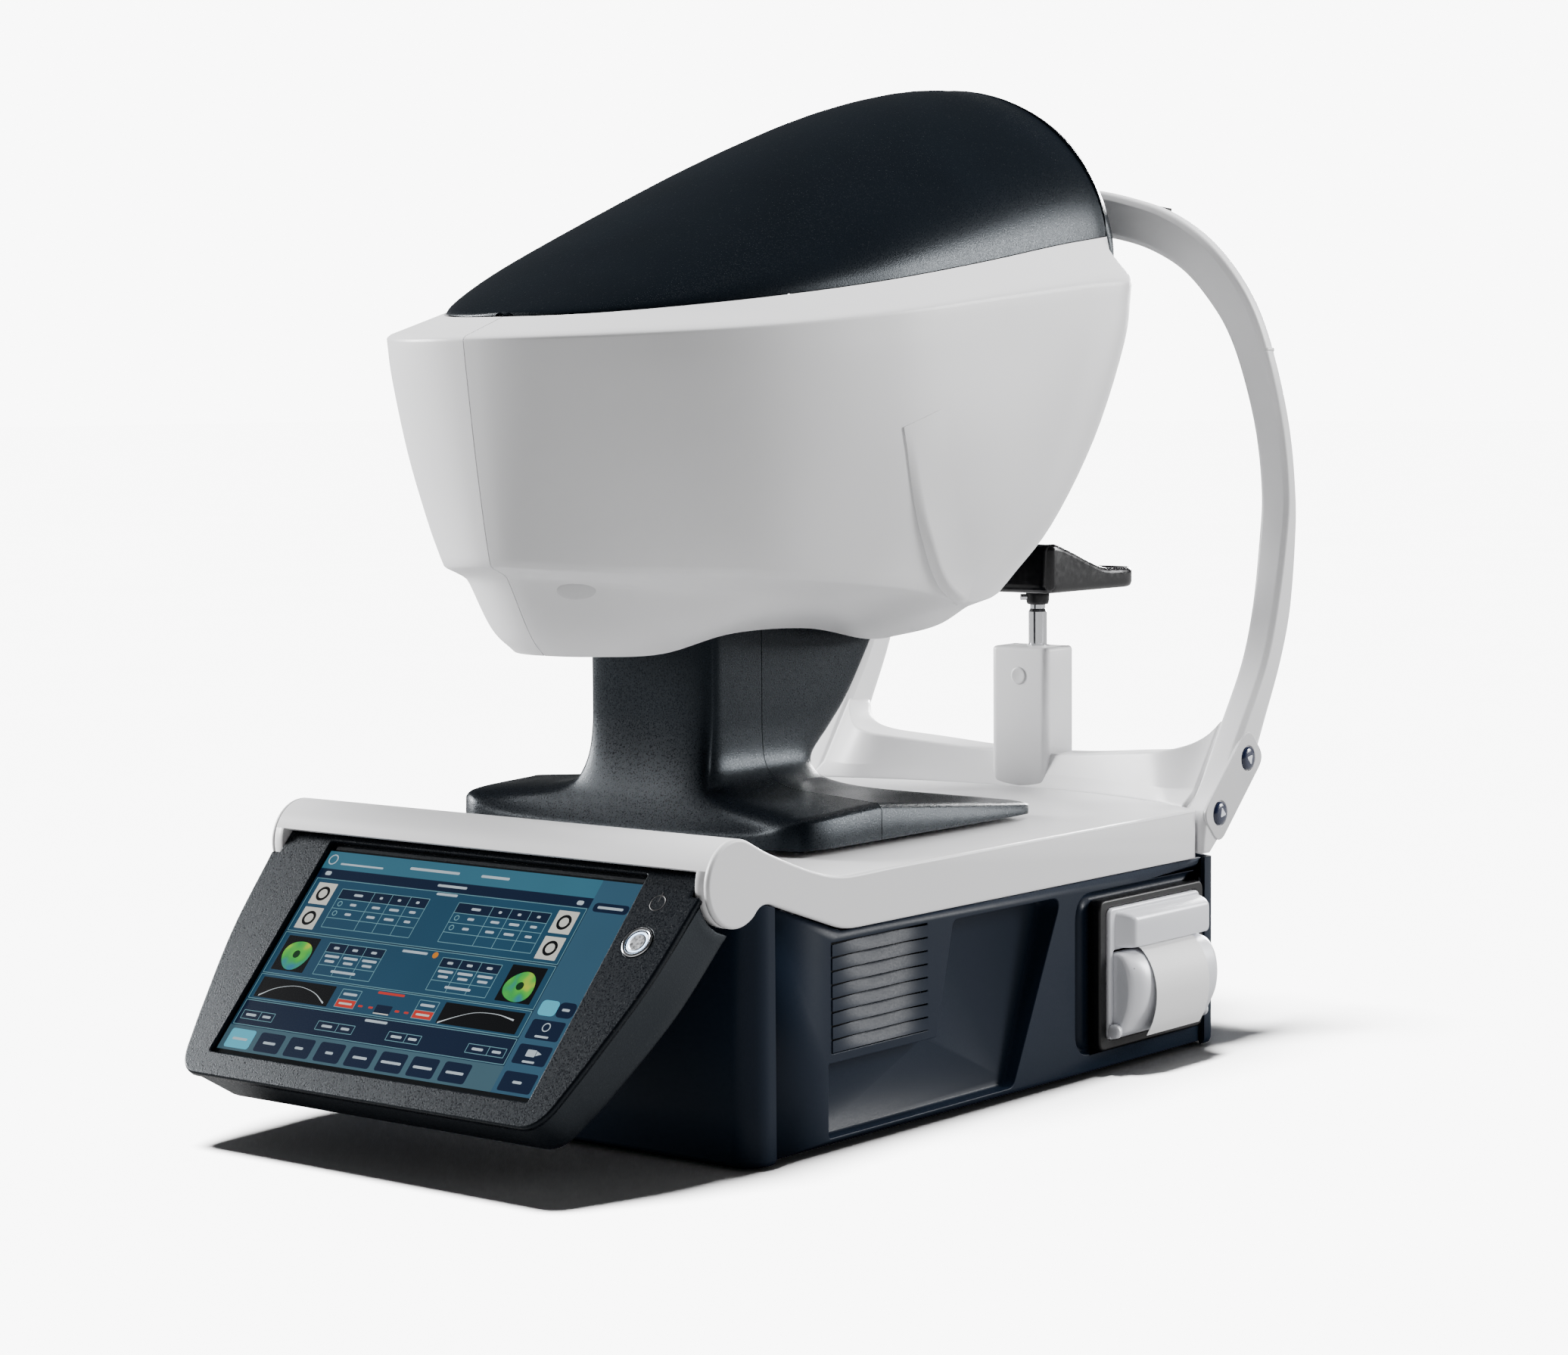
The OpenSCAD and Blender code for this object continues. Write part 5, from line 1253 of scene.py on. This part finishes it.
slab("printer_frame_skin", box_outline(323, 434, 15, 102, 6, 6), [box_outline(330.2, 427.8, 20.6, 97.4, 4.5, 6)],
     150.5, 158.4, 1.2, RIGHT, BLACK, "base", ["printer_frame"], "black_plastic", 0.8)
slab("printer_rim_skin", box_outline(330.5, 427.5, 20.9, 97.1, 4.5, 6), [box_outline(334, 424, 23.4, 72.8, 2, 4)],
     152, 160.2, 1.3, RIGHT, SILVER, "base", ["printer_body"], "silver_case", 0.4)
printer_loft("printer_hood", [(159.5, 335.6, 426.4, 73.6, 94.8), (163, 338.8, 425.8, 73.6, 94.2),
                              (166.4, 342, 425.2, 73.6, 92.8), (168.2, 343.8, 424.6, 73.8, 91.4),
                              (168.9, 345, 423.8, 74.4, 90.4), (169.1, 346.4, 422.6, 75.6, 89.2)], SILVER, "base")
DOOR = [(159.8, 71.4), (164.5, 71.2), (169.6, 68.6), (174.2, 61.5), (176, 51), (174.6, 40), (170, 30),
        (166.5, 24.2), (159.8, 23.7)]


def door_rings():
    line = [Vector((p.y, p.z)) for p in curve([(0, a, b) for a, b in DOOR], 5)]
    rings = []
    for y, k, t in ((334.5, 0.3, 2.0), (334.9, 0.3, 0.8), (335.8, 0.35, 0.2), (338, 0.52, 0), (341, 0.75, 0),
                    (344, 0.92, 0), (347.5, 1.0, 0), (385, 1.0, 0), (420, 1.0, 0), (422.6, 0.96, 0.2),
                    (423.3, 0.93, 0.8), (423.5, 0.9, 1.8)):
        ring = []
        for p in line:
            x = 159.8 + (p.x - 159.8) * (0.62 + 0.38 * k)
            ring.append(Vector((max(x - t, 158.5), y, 47.5 + (p.y - 47.5) * (1 - t / 30))))
        ring += [Vector((158.5, y, ring[-1].z)), Vector((158.5, y, ring[0].z))]
        rings.append(ring)
    return rings


sharp(loft("printer_door_skin", door_rings(), SILVER, "door", ["printer_door"], "silver_case"), 60)
# A short black bar where the door has a small slot: its black is painted shade for the inside of the slot.
slab("door_slot_shade", box_outline(338.6, 339.3, 59.5, 63, 0.3, 3), [], 168.5, 171.6, 0.1, RIGHT, BLACK, "door")


def on_hinge(a, b, h):
    return Vector((162.5 + a, h, 26.2 + b))


for way, label, y in ((1, "near", 330.6), (-1, "far", 427.4)):
    turned(f"hinge_cap_{label}", [(0.01, y - 0.5 * way), (2.6, y - 0.45 * way), (3.6, y - 0.1 * way),
                                  (4.1, y + 0.5 * way), (4.2, y + 3.1 * way)], on_hinge, SILVER, "base")

SLIP = [(0, 162.6, 74.2), (0, 167.6, 72), (0, 172.8, 66), (0, 176.6, 58), (0, 178.3, 48), (0, 177.6, 38),
        (0, 175, 29), (0, 171.4, 22)]
SLIP_LINE = curve(SLIP, 12)


def on_slip(s, y, out=0.0):
    """A point on the slip: s runs from 0 at the slot to 1 at the free end."""
    k = min(s * (len(SLIP_LINE) - 1), len(SLIP_LINE) - 1.001)
    i = int(k)
    a, b = SLIP_LINE[i], SLIP_LINE[i + 1]
    d = (b - a).normalized()
    p = a.lerp(b, k - i)
    return Vector((p.y - d.z * out, y, p.z + d.y * out))


skin("slip_skin", [[on_slip(k / 60, 352 + 57 * j / 8) for j in range(9)] for k in range(61)], 0.3, PAPER, "door",
     ["receipt"], "paper", offset=0.0)


def print_marks():
    """Faint bars that stand where the slip's printed values would be."""
    rows = [(0.09, [(360, 5), (368, 3), (374, 8)]), (0.16, [(360, 6), (371, 10)]), (0.25, [(369, 9), (386, 7)]),
            (0.33, [(358, 2), (372, 8), (389, 8)]), (0.41, [(358, 2), (374, 8), (391, 8)]),
            (0.49, [(358, 2), (376, 5), (394, 4)]), (0.57, [(360, 5), (374, 8), (392, 8)]),
            (0.65, [(359, 3), (373, 8), (391, 8)]), (0.73, [(358, 3), (380, 11)]), (0.81, [(380, 46)]),
            (0.86, [(376, 18)])]
    bm = bmesh.new()
    for s, bars in rows:
        tall = 0.006 if s == 0.81 else 0.017
        for y, width in bars:
            quads = []
            for out in (0.12, 0.2):
                quads.append([bm.verts.new(place(on_slip(s + ds, y + dy, -out))) for ds, dy in
                              ((-tall, -width / 2), (-tall, width / 2), (tall, width / 2), (tall, -width / 2))])
            bm.faces.new(quads[1])
            for i in range(4):
                k = (i + 1) % 4
                bm.faces.new((quads[0][i], quads[0][k], quads[1][k], quads[1][i]))
    add_object("slip_marks", mesh_of(bm, "slip_marks"), INK, "door", smooth=False)


print_marks()

# ---- plug under the head --------------------------------------------------------------------

PLUG_OUT = Vector((0.467, -0.773, -0.429))
PLUG_LONG = Vector((0.856, 0.517, 0))
PLUG_AT = Vector((34.9 + HEAD_X, 48.6, 289.7))


def on_plug(a, b, h):
    return PLUG_AT + a * PLUG_LONG + b * PLUG_OUT.cross(PLUG_LONG) + h * PLUG_OUT


turned("head_plug_skin", [(0.01, 2.6), (6, 2.5), (9, 2.3), (10.6, 1.9), (11.4, 1.3), (11.75, 0.4), (11.8, -2)],
       on_plug, PLUG, "head", ["head_plug"], "plug_grey", 56, 0.54)

# ---- floor and light ------------------------------------------------------------------------


def area_light(name, at, aim, size, power, group, shine=True):
    """A soft lamp that shines on one light group."""
    data = bpy.data.lights.new(name, "AREA")
    data.shape = "RECTANGLE"
    data.size, data.size_y = size
    data.energy = power
    obj = bpy.data.objects.new(name, data)
    obj.visible_glossy = shine
    obj.light_linking.receiver_collection = group
    bpy.context.collection.objects.link(obj)
    obj.location = at
    obj.rotation_euler = (Vector(aim) - Vector(at)).to_track_quat("-Z", "Y").to_euler()


def make_world(seen, felt):
    """Even surroundings: as bright as the floor behind the object, dimmer as a light on it."""
    world = bpy.data.worlds.new("studio")
    world.use_nodes = True
    tree = world.node_tree
    glow = tree.nodes["Background"]
    glow.inputs["Color"].default_value = (1, 1, 1, 1)
    path = tree.nodes.new("ShaderNodeLightPath")
    level = tree.nodes.new("ShaderNodeMapRange")
    level.inputs["To Min"].default_value = felt
    level.inputs["To Max"].default_value = seen
    tree.links.new(path.outputs["Is Camera Ray"], level.inputs["Value"])
    tree.links.new(level.outputs["Result"], glow.inputs["Strength"])
    bpy.context.scene.world = world


def pale_floor():
    """Matt white paper that throws little light back at the object."""
    m = Nodes("pale_floor")
    m.set(Roughness=0.9, Specular_IOR_Level=0.1)
    path = m.add("ShaderNodeLightPath")
    mix = m.add("ShaderNodeMix", data_type="RGBA")
    m.link(path.outputs["Is Camera Ray"], mix.inputs[0])
    mix.inputs[6].default_value = (0.1, 0.1, 0.1, 1)
    m.link(m.ramp(m.noise(3, 2), [(0.3, (0.94, 0.94, 0.94)), (0.7, (0.96, 0.96, 0.96))]), mix.inputs[7])
    m.feed(mix.outputs[2], "Base Color")
    return m.mat


def overhead(floor, strength):
    """Even light from straight above that falls on the floor alone."""
    data = bpy.data.lights.new("overhead", "SUN")
    data.energy = strength
    data.angle = math.radians(16)
    obj = bpy.data.objects.new("overhead", data)
    obj.rotation_euler = (math.radians(8), math.radians(-6), 0)
    bpy.context.collection.objects.link(obj)
    only = bpy.data.collections.new("lit_floor")
    only.objects.link(floor)
    obj.light_linking.receiver_collection = only


def all_but(floor):
    """A light group that holds every object except the floor."""
    group = bpy.data.collections.new("unlit_floor")
    group.objects.link(floor)
    group.collection_objects[0].light_linking.link_state = "EXCLUDE"
    return group


def make_stage():
    mesh = bpy.data.meshes.new("floor")
    reach = 30.0
    mesh.from_pydata([(-reach, -reach, 0), (reach, -reach, 0), (reach, reach, 0), (-reach, reach, 0)], [],
                     [(0, 1, 2, 3)])
    floor = bpy.data.objects.new("floor", mesh)
    bpy.context.collection.objects.link(floor)
    dress(floor, pale_floor())
    make_world(9.0, 0.07)
    overhead(floor, 30.0)
    group = all_but(floor)
    area_light("left", (-3.0, -0.9, 1.2), (0, 0, 0.3), (0.9, 1.4), 290, group)
    area_light("right", (2.2, 2.8, 1.25), (0, 0, 0.3), (0.9, 1.4), 160, group)
    area_light("top", (0.0, 0.6, 2.8), (0, 0.1, 0.1), (1.2, 1.2), 165, group, False)
    area_light("rear", (-0.7, 3.4, 1.0), (0, 0, 0.5), (0.9, 0.9), 220, group)


make_stage()
